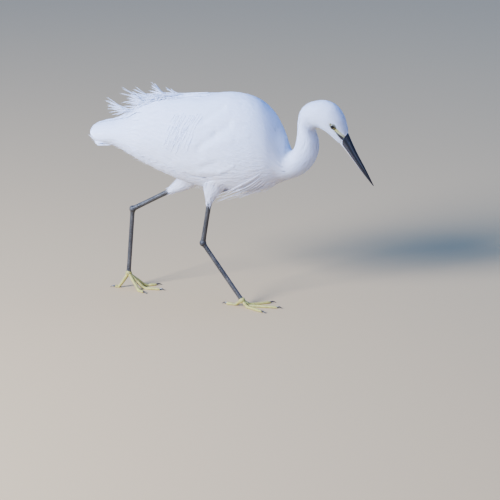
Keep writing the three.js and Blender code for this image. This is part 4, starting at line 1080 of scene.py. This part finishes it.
for name, side in (("left", 1), ("right", -1)):
    bed_along, bed_share = np.linspace(2.0, SHOULDER + 0.3, 80)[:, None], np.linspace(0, 1, 44)[None, :]
    bed_angle = mix(mantle_edge(bed_along) - 0.16, wing_edge(bed_along) - 0.05, bed_share)
    under = 2.0 * (1 - smooth(bed_along, 9.5, SHOULDER + 0.3)) + 1.8
    rim = np.minimum(bed_share, 1 - bed_share) * 6
    skinward = under + 3.0 * (1 - np.exp(-rim * 2)) + 0.3
    upper = lifted(outline, bed_along, side * bed_angle, -under * MM * np.ones_like(bed_angle))
    lower = lifted(outline, bed_along, side * bed_angle, -np.minimum(skinward, 6.6) * MM)
    bed = piece(f"wing_bed_{name}", *shell(np.concatenate([upper, lower[:, ::-1]], 1)))
    for value, amount in (("barb", 0.0), ("tip", 1.0)):
        point_value(bed, value, np.full(len(bed.data.vertices), amount))
    point_value(bed, "painted_sky_and_bounce", painted_sky_and_bounce(places(bed)))
    bed.data.materials.append(feather_finish)

    # Primaries, then secondaries and tertials: each tier's feathers, heights in millimetres, barbs and widening.
    flight = empty_coat()
    tiers = (
        (fan(6, (4.2, 4.4), (0.1, 1.5), (66, 122), (50, 128), 1.9), (-4.4, -2.4), 34, 1.3),
        (fan(19, (6.9, 8.4), (0.04, 1.3), (3, 118), (3, 111), 2.3, 2.2), (-2.7, -0.7), 46, 1.25),
    )
    for (start, end, spread), rise, barbs, widen in tiers:
        vanes(flight, start, end, spread, np.array(rise) * MM, barbs, side, widen)
    finish_coat(flight, f"flight_feathers_{name}", f"wing_{name}")

    coverts = empty_coat()

    def on_wing(station, angle, side=side):
        """True for roots between the mantle and the wing's lower edge, on this side."""
        return (side * angle > mantle_edge(station) - 0.10) & (side * angle < wing_edge(station) + 0.02)

    roots = rows_of_roots(outline, 5.9, 11.7, ([5.6, 6.4, 8.5, 11.7], [9.5, 7.5, 5.2, 3.4]), on_wing)
    roots = roots[np.argsort(roots[:, 0])]
    size = smooth(roots[:, 0], 11.7, 6.6)
    droop = smooth(side * roots[:, 1], 0.5, 1.9) * 0.10
    lay(coverts, outline, roots, mix(13, 42, size**1.4) * MM, mix(5.0, 11.5, size) * MM, mix(-1.05, -1.2, size) * MM,
        1.1 * MM, 10, stray=0.035, camber=0.05, swing=-side * droop, swell=relief_of_plumage, thick=0.00016)
    finish_coat(coverts, f"coverts_{name}")

# Mantle and plumes
# The back between the wings is covered by long, loose scapular feathers. From among them grow the long plumes of the
# breeding season: thin shafts with hair-fine, unhooked barbs, which lie along the back and curl up at the ends.


def on_mantle(station, angle):
    """True for roots between the wings, and a little way under their edges."""
    return np.abs(angle) < mantle_edge(station) + 0.12


mantle_coat = empty_coat()
roots = rows_of_roots(outline, 3.2, 11.9, ([3.2, 4.6, 8.5, 11.9], [6.5, 6.0, 4.8, 3.4]), on_mantle)
size = smooth(roots[:, 0], 11.9, 6.5)
lay(mantle_coat, outline, roots, mix(14, 44, size) * MM, mix(5.0, 8, size) * MM, -1.0 * MM, 1.25 * MM, 10, stray=0.05,
    camber=0.05, swell=relief_of_plumage, thick=0.00016)
finish_coat(mantle_coat, "mantle_feathers")


def back_height(x):
    """Height of the back line over a place along X, in millimetres."""
    fine = through(STATIONS, np.linspace(0, 12.5, 400)) / MM
    return np.interp(x, fine[:, 0], fine[:, 1])


def barbed(coat, path, first, clumps, reach, fall, spread, uv, low=-1.4, shaft=0.0010, barb=0.0007):
    """A plume on a smooth path of points in metres: its shaft, and clumps of three barbs that leave it from the share
    first on. A barb of length reach points backwards, down from the horizontal by fall, which goes from its value at
    the first barb to that at the last, and aside by up to spread. Every other clump leans up and the rest down by
    0.27, the tips in a clump draw together, and each barb sags a little and stays the height low over the back."""
    ends = np.linspace(0, len(path) - 1, 40)
    add_hairs(coat, through(path, ends)[None], shaft, uv)
    share = np.repeat(np.linspace(0, 1, clumps), 3) + np.tile([-0.3, 0.0, 0.3], clumps) / clumps
    share = np.clip(share + draw.normal(0, 0.1 / clumps, len(share)), 0, 1)
    here = through(path, mix(first, 0.995, share) * (len(path) - 1))
    wide = np.repeat(draw.uniform(-1, 1, clumps), 3) * spread + draw.normal(0, 0.04, len(share))
    longer = np.repeat(draw.uniform(0.7, 1.15, clumps), 3)
    far = mix(*reach, share) * longer * draw.uniform(0.88, 1.1, len(share)) * MM
    lean = 0.27 * np.cos(np.pi * np.arange(clumps)) + draw.normal(0, 0.10, clumps)
    down = mix(*fall, share) + np.repeat(lean, 3)
    tip = here + np.stack([-far * np.cos(down) * np.cos(wide), far * np.sin(wide), -far * np.sin(down)], -1)
    pinch = tip.reshape(clumps, 3, 3).mean(1, keepdims=True)
    tip = mix(tip.reshape(clumps, 3, 3), pinch, 0.15).reshape(-1, 3)
    v = np.linspace(0, 1, 7)[None, :, None]
    line = mix(here[:, None], tip[:, None], v)
    sag = np.array([0.02, 0, -0.03 * first])
    line = line + (4 * v * (1 - v)) * far[:, None, None] * sag
    floor_z = (back_height(line[..., 0] / MM) - np.abs(line[..., 1] / MM) * 0.12 + low) * MM
    near_back = np.abs(line[..., 1]) < 0.012
    line[..., 2] = np.where(near_back, np.maximum(line[..., 2], floor_z), line[..., 2])
    add_hairs(coat, line, barb, np.repeat(uv, len(line), 0), slim=0.7)


plume_coat = empty_coat()
# The curled plumes, in millimetres: their place across the back, and in side view their root, two places where they
# lie on the back, and their free end. Then their clumps of barbs, and the barbs' length and fall at first and last.
CURLED = [
    dict(y=-8, root=-24, lies=(-46, -66), free=[(-78, 298.4), (-85, 299.2), (-91.0, 301.2), (-96.0, 304.6)],
         clumps=26, reach=(28, 21), fall=(0.16, -0.50)),
    dict(y=-3, root=-22, lies=(-40, -56), free=[(-66, 300.2), (-71, 300.8), (-75.5, 301.4), (-79.5, 302.6)],
         clumps=15, reach=(18, 13), fall=(0.20, -0.40)),
    dict(y=8, root=-30, lies=(-52, -80), free=[(-102, 291.5), (-111, 291.2), (-119.5, 292.0), (-127.0, 294.2)],
         clumps=26, reach=(34, 25), fall=(0.48, -0.20)),
    dict(y=0, root=-36, lies=(-58, -86), free=[(-108, 289.0), (-117, 288.6), (-126.0, 289.6), (-134.0, 292.2)],
         clumps=28, reach=(36, 27), fall=(0.52, -0.20)),
    dict(y=-11, root=-34, lies=(-54, -82), free=[(-104, 288.4), (-112, 287.8), (-119.5, 289.0), (-126.0, 291.4)],
         clumps=24, reach=(34, 24), fall=(0.64, -0.06)),
    dict(y=4, root=-42, lies=(-64, -104), free=[(-140, 275.5), (-149, 272.8), (-157.5, 272.8), (-165.5, 275.4)],
         clumps=26, reach=(30, 26), fall=(0.40, -0.26)),
    dict(y=-5, root=-42, lies=(-66, -106), free=[(-138, 274.6), (-145, 272.4), (-152, 272.4), (-158.5, 274.0)],
         clumps=20, reach=(28, 22), fall=(0.42, -0.10)),
]
for sizes in CURLED:
    y = sizes["y"]
    lying = [(x, y, back_height(x) - 1.4) for x in sizes["lies"]]
    free = [(x, y, z) for x, z in sizes["free"]]
    path = np.array([(sizes["root"], y, back_height(sizes["root"]) - 2), *lying, *free]) * MM
    uv = unwrap(np.full(1, 6.0), np.full(1, y * MM / 0.05))
    barbed(plume_coat, path, 0.40, sizes["clumps"], sizes["reach"], sizes["fall"], 0.30, uv)
# Shorter plumes between them, which lie flat to near their ends.
FLAT_PLUMES = 16
for n in range(FLAT_PLUMES):
    y, root, end = mix(-14, 14, (n * 5 % 16) / 15), draw.uniform(-52, -24), draw.uniform(-138, -104)
    stops = np.linspace(root, end, 6)
    rise = np.array([-2.5, -1.7, -1.3, -0.3, 2.2, 5.0 + draw.uniform(0, 3.5)])
    across = np.full(6, y) + draw.normal(0, 0.5, 6)
    path = np.stack([stops, across, back_height(stops) + rise - abs(y) * 0.10], -1) * MM
    uv = unwrap(np.full(1, 6.0), np.full(1, y * MM / 0.05))
    barbed(plume_coat, path, 0.30, 19, (21, 13), (0.60, 0.40), 0.4, uv, low=-1.5, shaft=0.0007, barb=0.0006)
finish_coat(plume_coat, "curled_plumes", "mantle")

# Loose barbs of long plumes that lie over the wing: they droop steeply across it in soft parallel streaks, and sink
# into the feathers at both ends.
for name, side in (("left", 1), ("right", -1)):
    lying_coat = empty_coat()
    count = 13
    for row in range(4):
        u = (np.arange(count) + draw.uniform(-0.3, 0.3, count)) / count
        station = mix(6.7, 7.9, u) + mix(0.2, -0.1, row / 3)
        angle = np.radians(mix(50, 78, row / 3) + draw.uniform(-6, 6, count))
        far = draw.uniform(0.22, 0.40, count) * mix(0.55, 1, np.sin(np.pi * u))
        w = np.linspace(0, 1, 8)[None, :]
        along = station[:, None] - far[:, None] * (0.62 * w + 0.18 * w**2)
        about = angle[:, None] + far[:, None] * (1.10 * w - 0.16 * w**2)
        above = mix(-0.0003, 0.0002, np.sin(np.pi * w)) + draw.uniform(0, 0.0002, (count, 1))
        line = lifted(outline, along, side * about, above + relief_of_plumage(along, about))
        uv = unwrap(station, side * angle)
        add_hairs(lying_coat, line, draw.uniform(0.0005, 0.0008), uv, slim=0.6)
    finish_coat(lying_coat, f"lying_plumes_{name}")

# Breast plumes
# Narrow, drooping strands of long feathers that leave the lower breast, lie back along it and hang free under the
# belly, each ending in a tuft of loose barbs.

# Strands of one side, from the upper one to the foremost: station and turn of the root, station and turn where it
# leaves the belly, in degrees, and the tip's place in millimetres on the left.
STRANDS = np.array([
    [10.9, 116, 9.35, 135, 6, 31, 168], [10.9, 122, 9.10, 146, -9, 26, 163], [10.9, 128, 9.25, 153, -17, 20, 153.5],
    [11.1, 134, 9.60, 158, -3, 17, 155], [11.3, 140, 9.90, 163, 8, 14, 158], [11.35, 144, 10.25, 160, 23, 13, 161.5],
    [11.4, 147, 10.45, 161, 37, 12, 165], [11.5, 150, 10.80, 163, 50, 10, 168], [11.6, 153, 11.05, 166, 58, 9, 170.5],
])
LOOSE_BARBS = 10
breast_coat = empty_coat()
for side in (1, -1):
    for layer, count in enumerate((13, 9)):
        rows = through(STRANDS, (np.arange(count) + 0.5 * layer) / (count - 1 + layer) * (len(STRANDS) - 1))
        rows = rows + draw.normal(0, 1, rows.shape) * np.array([0.05, 0.8, 0.05, 1.0, 2.0, 0.8, 0.8])
        for root_s, root_a, leave_s, leave_a, *tip in rows:
            v = np.array([0, 0.33, 0.67, 1.0])
            laid = lifted(outline, mix(root_s, leave_s, v), side * np.radians(mix(root_a, leave_a, v)),
                          (np.array([-1.0, 1.0, 1.9, 2.3]) - 0.9 * layer) * MM)
            end = np.array([tip[0] + 6 * layer, side * tip[1], tip[2] + 1.5 * layer]) * MM
            path = np.concatenate([laid, (mix(laid[-1], end, 0.5) + [0, side * 0.0008, -0.0004])[None], end[None]])
            uv = unwrap(np.array([root_s]), side * np.radians([root_a]))
            out = np.array([0.05, side * 0.75, -0.5])
            blade(breast_coat, path, out, draw.uniform(0.75, 1.15) * MM, 26, uv, camber=0.8)
            at_end = through(path, np.linspace(2.0, 4.9, LOOSE_BARBS))
            v = np.linspace(0, 1, 6)[None, :, None]
            drift = draw.normal(0, 1, (LOOSE_BARBS, 1, 3)) * np.array([1.0, 1.4, 0.9]) * MM
            onward = (path[-1] - path[-2])[None, None] * draw.uniform(0.35, 0.75, (LOOSE_BARBS, 1, 1))
            line = at_end[:, None] + onward * v + drift * v**2
            add_hairs(breast_coat, line, 0.0004, np.repeat(uv, LOOSE_BARBS, 0), slim=0.7)
finish_coat(breast_coat, "breast_plumes")

# Tail
# Twelve short, square-ended feathers that lie flat under the wing tips, the middle pair uppermost, and two rows of
# softer coverts over them that fill the space below the wings.

# The roots' place along X, how far the outer tips stand forward of the middle ones, and a feather's width, in
# millimetres, and the tiers: the tips' place along X and their height, the number of feathers and how far they fan.
TAIL_ROOT, TAIL_BOW, TAIL_WIDTH = -163, 10, 9.5
TAIL_TIERS = ((-208, 227.5, 12, 1.0), (-208.5, 231.0, 12, 1.0), (-208, 234.8, 11, 0.95), (-206.5, 238.4, 9, 0.8))


def tail_line(share, across, tip_x, level, fanned):
    """Middle line of a tail feather at shares of its length, in millimetres: x, y and z. It rises from the root, less
    on the outer feathers, and moves aside as the tail fans out."""
    rise = mix(level + 0.6, level + 2.4 - 5.4 * abs(across) * fanned, smooth(share, 0, 0.5))
    return mix(TAIL_ROOT, tip_x + TAIL_BOW * across**2, share), across * mix(7, 16, share) * fanned, rise


tail_coat = empty_coat()
t, x, under, triangles, edge = comb(34, 0.94)
half = TAIL_WIDTH / 2 * mix(0.7, 1, smooth(t, 0, 0.5)) * np.sqrt(np.maximum(1 - 0.9 * smooth(t, 0.8, 1.0) ** 2, 0.05))
quill_share = np.linspace(0, 0.94, 16)
for tip_x, level, count, fanned in TAIL_TIERS:
    for across in np.linspace(-1, 1, count):
        along, middle, top = tail_line(t, across, tip_x, level, fanned)
        z = top - 0.28 * x * np.sign(across) - 0.25 * x**2 - 0.3 * under
        points = np.stack([along, middle + x * half, z], -1)[None] * MM
        uv = unwrap(np.full(1, 1.2), np.full(1, 2.2 * across))
        local = np.stack([(x + 1) / 2, t], -1)[None]
        gather(tail_coat, points, triangles, edge, t * 49 - np.abs(x) * 5, t, uv, local)
        along, middle, top = tail_line(quill_share, across, tip_x, level, fanned)
        add_hairs(tail_coat, np.stack([along, middle, top + 0.15], -1)[None] * MM, QUILL, uv)
finish_coat(tail_coat, "tail_feathers", "tail")

# Legs
# Long bare shanks of black, scaly skin over bone: the lower half of the tibia, the knobbed ankle, and the tarsus with
# a row of broad scutes down its front and small scales round the rest, worn brownish on their edges.

TIBIA_LENGTH, TARSUS_LENGTH = 62, 98
ANKLE_RADIUS, TOE_JOINT_RADIUS = 4.9, 4.6

# Horny leg skin: satin, with black scales, lighter seams between them, and grey where it is worn and dusty.
leg_finish, tree, output = material("black scaled leg skin")
place = add(tree, "TexCoord").outputs["Object"]
squeeze = add(tree, "Mapping", {"Vector": place, "Scale": (1.0, 1.0, 0.62)})
cells = add(tree, "TexVoronoi", {
    "Vector": squeeze.outputs[0], "Scale": 560.0, "Randomness": 0.75,
}, feature="DISTANCE_TO_EDGE")
scale_top = add(tree, "Math", {0: cells.outputs["Distance"], 1: 7.0}, operation="MULTIPLY", use_clamp=True)
worn = add(tree, "TexNoise", {"Vector": place, "Scale": 55.0, "Detail": 4.0, "Roughness": 0.6})
dust = add(tree, "MapRange", {"Value": worn.outputs["Fac"], "From Min": 0.45, "From Max": 0.75, "To Max": 0.8})
ground = add(tree, "Mix", {
    "Factor": scale_top.outputs[0], COLOUR_A: linear("#3d3934"), COLOUR_B: linear("#1d1c1b"),
}, data_type="RGBA")
tone = add(tree, "Mix", {
    "Factor": dust.outputs["Result"], COLOUR_A: ground.outputs[MIXED], COLOUR_B: linear("#4f4a43"),
}, data_type="RGBA")
bump = add(tree, "Bump", {"Height": scale_top.outputs[0], "Strength": 0.6, "Distance": 0.0003})
surface = add(tree, "BsdfPrincipled", {
    "Base Color": tone.outputs[MIXED], "Roughness": 0.42, "Normal": bump.outputs["Normal"],
})
tree.links.new(surface.outputs[0], output.inputs["Surface"])


LIMB_SIDES = 56


def limb(path, share, radius, flatten, relief):
    """Rings round a straight path: an oval of the given radius at each share of it, squeezed sideways by flatten, with
    relief(share, turn) added to the radius. The turn is 0 in front."""
    here, _, across, side = tube_frame(path, share)
    turn = np.linspace(0, 2 * np.pi, LIMB_SIDES, endpoint=False)
    swell = radius[:, None] + relief(share[:, None], turn[None, :])
    about = across[:, None] * np.cos(turn)[None, :, None] + side[:, None] * (flatten * np.sin(turn))[None, :, None]
    return here[:, None] + about * swell[..., None]


def toe_joint(leg):
    """Middle of the joint between tarsus and toes, in metres."""
    return (np.array(leg["ankle"]) + np.array(leg["lean"]) * TARSUS_LENGTH) * MM


def scutes(pitch, length, height, front=0.9):
    """Relief of overlapping scutes down the front of a shank: each rises over its length and drops at its edge; behind
    them smaller scales in staggered rows. The pitch and the shank's length are in millimetres, the height in metres."""
    def relief(share, turn):
        """Height over the shank at a share of its length and a turn from the front."""
        down = share * length
        ahead = np.exp(-((np.minimum(turn, 2 * np.pi - turn) / front) ** 4))
        step = (down / pitch + 0.04 * np.cos(turn * 2)) % 1
        row = down / (pitch * 0.55) + 0.5 * (np.floor(turn / 0.5) % 2)
        small = np.sin(2 * np.pi * row) * np.sin(turn * 2 * np.pi)
        return height * (ahead * (step**0.7 - 0.8 * smooth(step, 0.86, 1.0)) + (1 - ahead) * 0.35 * small)

    return relief


for name, leg in LEGS.items():
    sock, ankle, joint = np.array(leg["sock"]) * MM, np.array(leg["ankle"]) * MM, toe_joint(leg)
    top = sock + (sock - ankle) / np.linalg.norm(sock - ankle) * 2.5 * MM
    share = np.linspace(0, 1, 150)
    radius = (mix(3.7, 3.3, np.sin(np.pi * share)) + 1.1 * smooth(share, 0.88, 1.0)) * MM
    scales = scutes(2.6, TIBIA_LENGTH, 0.00022, 0.7)
    tibia = piece(f"tibia_skin_{name}", *shell(limb(np.array([top, ankle]), share, radius, 0.95, scales)))
    level = np.linspace(0.02, np.pi - 0.02, 60)
    ball_path = ankle + np.array([0, 1, 0]) * (np.cos(level) * ANKLE_RADIUS * 0.92 * MM)[:, None]
    turn = np.linspace(0, 2 * np.pi, 64, endpoint=False)
    bumpy = 1 + 0.03 * np.sin(level * 9)[:, None] * np.sin(turn * 6)[None, :]
    knob = np.sin(level)[:, None] * bumpy * ANKLE_RADIUS * MM
    knuckle = ball_path[:, None] + np.stack([knob * np.cos(turn), 0 * knob, knob * 1.05 * np.sin(turn)], -1)
    ankle_piece = piece(f"ankle_{name}", *shell(knuckle))
    share = np.linspace(0, 1, 260)
    radius = (3.15 + 1.2 * (1 - smooth(share, 0, 0.12)) + 1.0 * smooth(share, 0.9, 1)) * MM
    scales = scutes(3.1, TARSUS_LENGTH, 0.00030)
    tarsus = piece(f"tarsus_skin_{name}", *shell(limb(np.array([ankle, joint]), share, radius, 0.82, scales)))
    for part in (tibia, ankle_piece, tarsus):
        part.data.materials.append(leg_finish)
    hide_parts(f"tibia_{name}")
    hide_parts(f"tarsus_{name}")

# Feet
# Four long, jointed toes from a knuckle low on the leg, greenish yellow and ringed with scutes above, padded below,
# each with a dark, curved claw. They stand flat on the floor.

# Each toe's reach in millimetres, its turn outwards from straight ahead in degrees, and its joints.
TOES = dict(middle=(53, 2, 3), inner=(41, 32, 2), outer=(44, -28, 4), hind=(27, 172, 1))
# A claw's length, a toe's radius and the height of its middle line over the floor, and the gap under the soles, in
# millimetres, and the pitch of the scutes across a toe.
CLAW_LENGTH, TOE_RADIUS, SOLE, FLOOR_GAP, SCUTE_PITCH = 7.5, 2.3, 1.5, 0.02, 2.1

# Horny toe skin: a dull yellow with scales of about 1 mm, olive seams between them, and earthy stains.
toe_finish, tree, output = material("yellow scaled toe skin")
place = add(tree, "TexCoord").outputs["Object"]
cells = add(tree, "TexVoronoi", {"Vector": place, "Scale": 900.0, "Randomness": 0.8}, feature="DISTANCE_TO_EDGE")
scale_top = add(tree, "Math", {0: cells.outputs["Distance"], 1: 6.0}, operation="MULTIPLY", use_clamp=True)
dirt = add(tree, "TexNoise", {"Vector": place, "Scale": 160.0, "Detail": 4.0})
ground = add(tree, "Mix", {
    "Factor": scale_top.outputs[0], COLOUR_A: linear("#7d7436"), COLOUR_B: linear("#c2b356"),
}, data_type="RGBA")
stain = add(tree, "MapRange", {"Value": dirt.outputs["Fac"], "From Min": 0.5, "From Max": 0.8, "To Max": 0.6})
tone = add(tree, "Mix", {
    "Factor": stain.outputs["Result"], COLOUR_A: ground.outputs[MIXED], COLOUR_B: linear("#5f5a36"),
}, data_type="RGBA")
bump = add(tree, "Bump", {"Height": scale_top.outputs[0], "Strength": 0.5, "Distance": 0.0002})
surface = add(tree, "BsdfPrincipled", {"Base Color": tone.outputs[MIXED], "Roughness": 0.5, "Subsurface Weight": 0.08,
                                       "Subsurface Scale": 0.001, "Normal": bump.outputs["Normal"]})
tree.links.new(surface.outputs[0], output.inputs["Surface"])

# Keratin grown in streaks along the claw: near black, with a low polish.
claw_finish, tree, output = material("dark claw horn")
place = add(tree, "TexCoord").outputs["Object"]
streak = add(tree, "TexNoise", {"Vector": place, "Scale": 700.0, "Detail": 3.0})
tone = add(tree, "Mix", {
    "Factor": streak.outputs["Fac"], COLOUR_A: linear("#1a1715"), COLOUR_B: linear("#3b342c"),
}, data_type="RGBA")
surface = add(tree, "BsdfPrincipled", {"Base Color": tone.outputs[MIXED], "Roughness": 0.32, "IOR": 1.54})
tree.links.new(surface.outputs[0], output.inputs["Surface"])


def along_floor(path, place, radius, flatten=1.0):
    """Rings round a smooth path over the floor at fractional row numbers: ovals of a radius [ring, corner], squeezed
    sideways by flatten and cut flat just over the floor."""
    here, ahead, _, _ = tube_frame(path, place)
    aside = np.cross(ahead, [0, 0, 1.0])
    aside /= np.linalg.norm(aside, axis=1, keepdims=True)
    over = np.cross(aside, ahead)
    rise, swing = np.cos(TOE_TURN)[None, :, None], np.sin(TOE_TURN)[None, :, None]
    rings = here[:, None] + (over[:, None] * rise + flatten * aside[:, None] * swing) * radius[..., None]
    rings[..., 2] = np.maximum(rings[..., 2], FLOOR_GAP * MM)
    return rings


def scutes_on_top(place, reach):
    """Height of the scutes across the top of a toe, which fade towards its sole, on a path of four rows."""
    step = (place / 4 * reach / SCUTE_PITCH) % 1
    upper = smooth(np.cos(TOE_TURN)[None, :], -0.2, 0.6)
    return 0.00020 * upper * (step**0.7 - 0.8 * smooth(step, 0.84, 1.0))


TOE_TURN = np.linspace(0, 2 * np.pi, 40, endpoint=False)
for name, leg in LEGS.items():
    joint = toe_joint(leg) / MM
    level = np.linspace(0.02, np.pi - 0.02, 50)[:, None]
    turn = np.linspace(0, 2 * np.pi, 64, endpoint=False)[None, :]
    bumpy = TOE_JOINT_RADIUS * (1 + 0.035 * np.sin(level * 10) * np.sin(turn * 7))
    ball = np.stack([bumpy * np.sin(level) * np.cos(turn), bumpy * np.cos(level) * np.ones_like(turn) * 0.95,
                     bumpy * np.sin(level) * np.sin(turn)], -1) + joint
    palm = piece(f"toe_joint_{name}", *shell(ball * MM))
    palm.data.materials.append(toe_finish)
    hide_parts(f"foot_{name}")
    for toe_name, (reach, toe_turn, joints) in TOES.items():
        heading = math.radians(-leg["side"] * toe_turn)
        forward = np.array([math.cos(heading), math.sin(heading), 0])
        drop = joint[2] - TOE_RADIUS
        end = math.sqrt(max(reach**2 - drop**2, (0.8 * reach) ** 2))
        landing = min(reach * 0.6, 6 + drop * 0.9)
        foot = np.array([joint[0], joint[1], 0])
        stops = ((0, joint[2]), (landing * 0.55, mix(joint[2], SOLE, 0.6)), (landing, SOLE),
                 (mix(landing, end, 0.5), SOLE), (end, SOLE))
        path = np.array([foot + forward * far + (0, 0, z) for far, z in stops]) * MM
        place = np.linspace(0.02, 4, 170)
        share = place / 4
        knuckles = 1 + 0.11 * np.cos(2 * np.pi * joints * share)
        radius = (TOE_RADIUS - 0.3 * share) * knuckles * (1 - 0.5 * smooth(share, 0.88, 1)) * MM
        body = along_floor(path, place, radius[:, None] + scutes_on_top(place[:, None], reach))
        toe = piece(f"toe_{toe_name}_skin_{name}", *shell(body))
        toe.data.materials.append(toe_finish)
        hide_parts(f"toe_{toe_name}_{name}")

        stops = ((end - 1.2, SOLE + 0.2), (end + CLAW_LENGTH * 0.4, SOLE + 1.0), (end + CLAW_LENGTH * 0.8, SOLE + 0.2),
                 (end + CLAW_LENGTH + 0.2, 0.25))
        path = np.array([foot + forward * far + (0, 0, z) for far, z in stops]) * MM
        place = np.linspace(0, 3, 60)
        taper = mix(1.45, 0.12, (place / 3) ** 0.9) * MM
        nail = along_floor(path, place, taper[:, None], flatten=0.72)
        claw = piece(f"claw_{toe_name}_horn_{name}", *shell(nail))
        claw.data.materials.append(claw_finish)
        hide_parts(f"claw_{toe_name}_{name}")

# Floor, light and camera
# A plain pale floor under a blue sky. The sun's soft light comes from behind the bird's right side, a little sky light
# from above and a little warm light from low in front, and the camera stands at the photograph's angle.

FLOOR_HALF = 8
floor_mesh = bpy.data.meshes.new("floor")
corners = [(x * FLOOR_HALF, y * FLOOR_HALF, 0) for x, y in ((-1, -1), (1, -1), (1, 1), (-1, 1))]
floor_mesh.from_pydata(corners, [], [(0, 1, 2, 3)])
floor = bpy.data.objects.new("floor", floor_mesh)
bpy.context.scene.collection.objects.link(floor)
# Matt, warm paper: under the blue sky it looks a pale, neutral grey.
floor_finish, tree, output = material("pale matt floor")
surface = add(tree, "BsdfPrincipled", {"Base Color": linear("#b6986e"), "Roughness": 0.9, "Specular IOR Level": 0.2})
tree.links.new(surface.outputs[0], output.inputs["Surface"])
floor.data.materials.append(floor_finish)
floor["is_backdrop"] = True

world = bpy.data.worlds.new("sky")
bpy.context.scene.world = world
world.use_nodes = True
world.node_tree.nodes["Background"].inputs["Color"].default_value = linear("#4f8cf0")
world.node_tree.nodes["Background"].inputs["Strength"].default_value = 1.5


def soft_light(name, spot, aim, size, power, colour):
    """A square area light at a place, turned to aim at a point."""
    light = bpy.data.lights.new(name, "AREA")
    light.size, light.energy, light.color = size, power, linear(colour)[:3]
    lamp = bpy.data.objects.new(name, light)
    lamp.location = spot
    lamp.rotation_euler = (Vector(aim) - Vector(spot)).to_track_quat("-Z", "Y").to_euler()
    bpy.context.scene.collection.objects.link(lamp)


soft_light("key", (-1.40, -1.88, 1.55), (0, 0, 0.2), 1.0, 370, "#cfdeff")
soft_light("sky_fill", (0.9, 0.6, 2.4), (0, 0, 0.25), 2.0, 20, "#8fbcff")
soft_light("low_fill", (1.3, -0.9, 0.12), (0.06, 0, 0.22), 0.8, 5, "#ffdccc")

AZIMUTH, ELEVATION, ROLL = math.radians(24), math.radians(17), math.radians(-3.5)
AIM, DISTANCE = Vector((0.022, 0, 0.077)), 5.0
FOCAL_LENGTH, SENSOR_WIDTH = 255.3, 36
level_back = Vector((math.sin(AZIMUTH), -math.cos(AZIMUTH), 0))
back = level_back * math.cos(ELEVATION) + Vector((0, 0, math.sin(ELEVATION)))
lens = bpy.data.cameras.new("camera")
lens.lens, lens.sensor_width = FOCAL_LENGTH, SENSOR_WIDTH
camera = bpy.data.objects.new("camera", lens)
camera.location = AIM + back * DISTANCE
camera.rotation_mode = "QUATERNION"
camera.rotation_quaternion = (-back).to_track_quat("-Z", "Y") @ Quaternion((0, 0, 1), ROLL)
bpy.context.scene.collection.objects.link(camera)
bpy.context.scene.camera = camera

low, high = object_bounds()
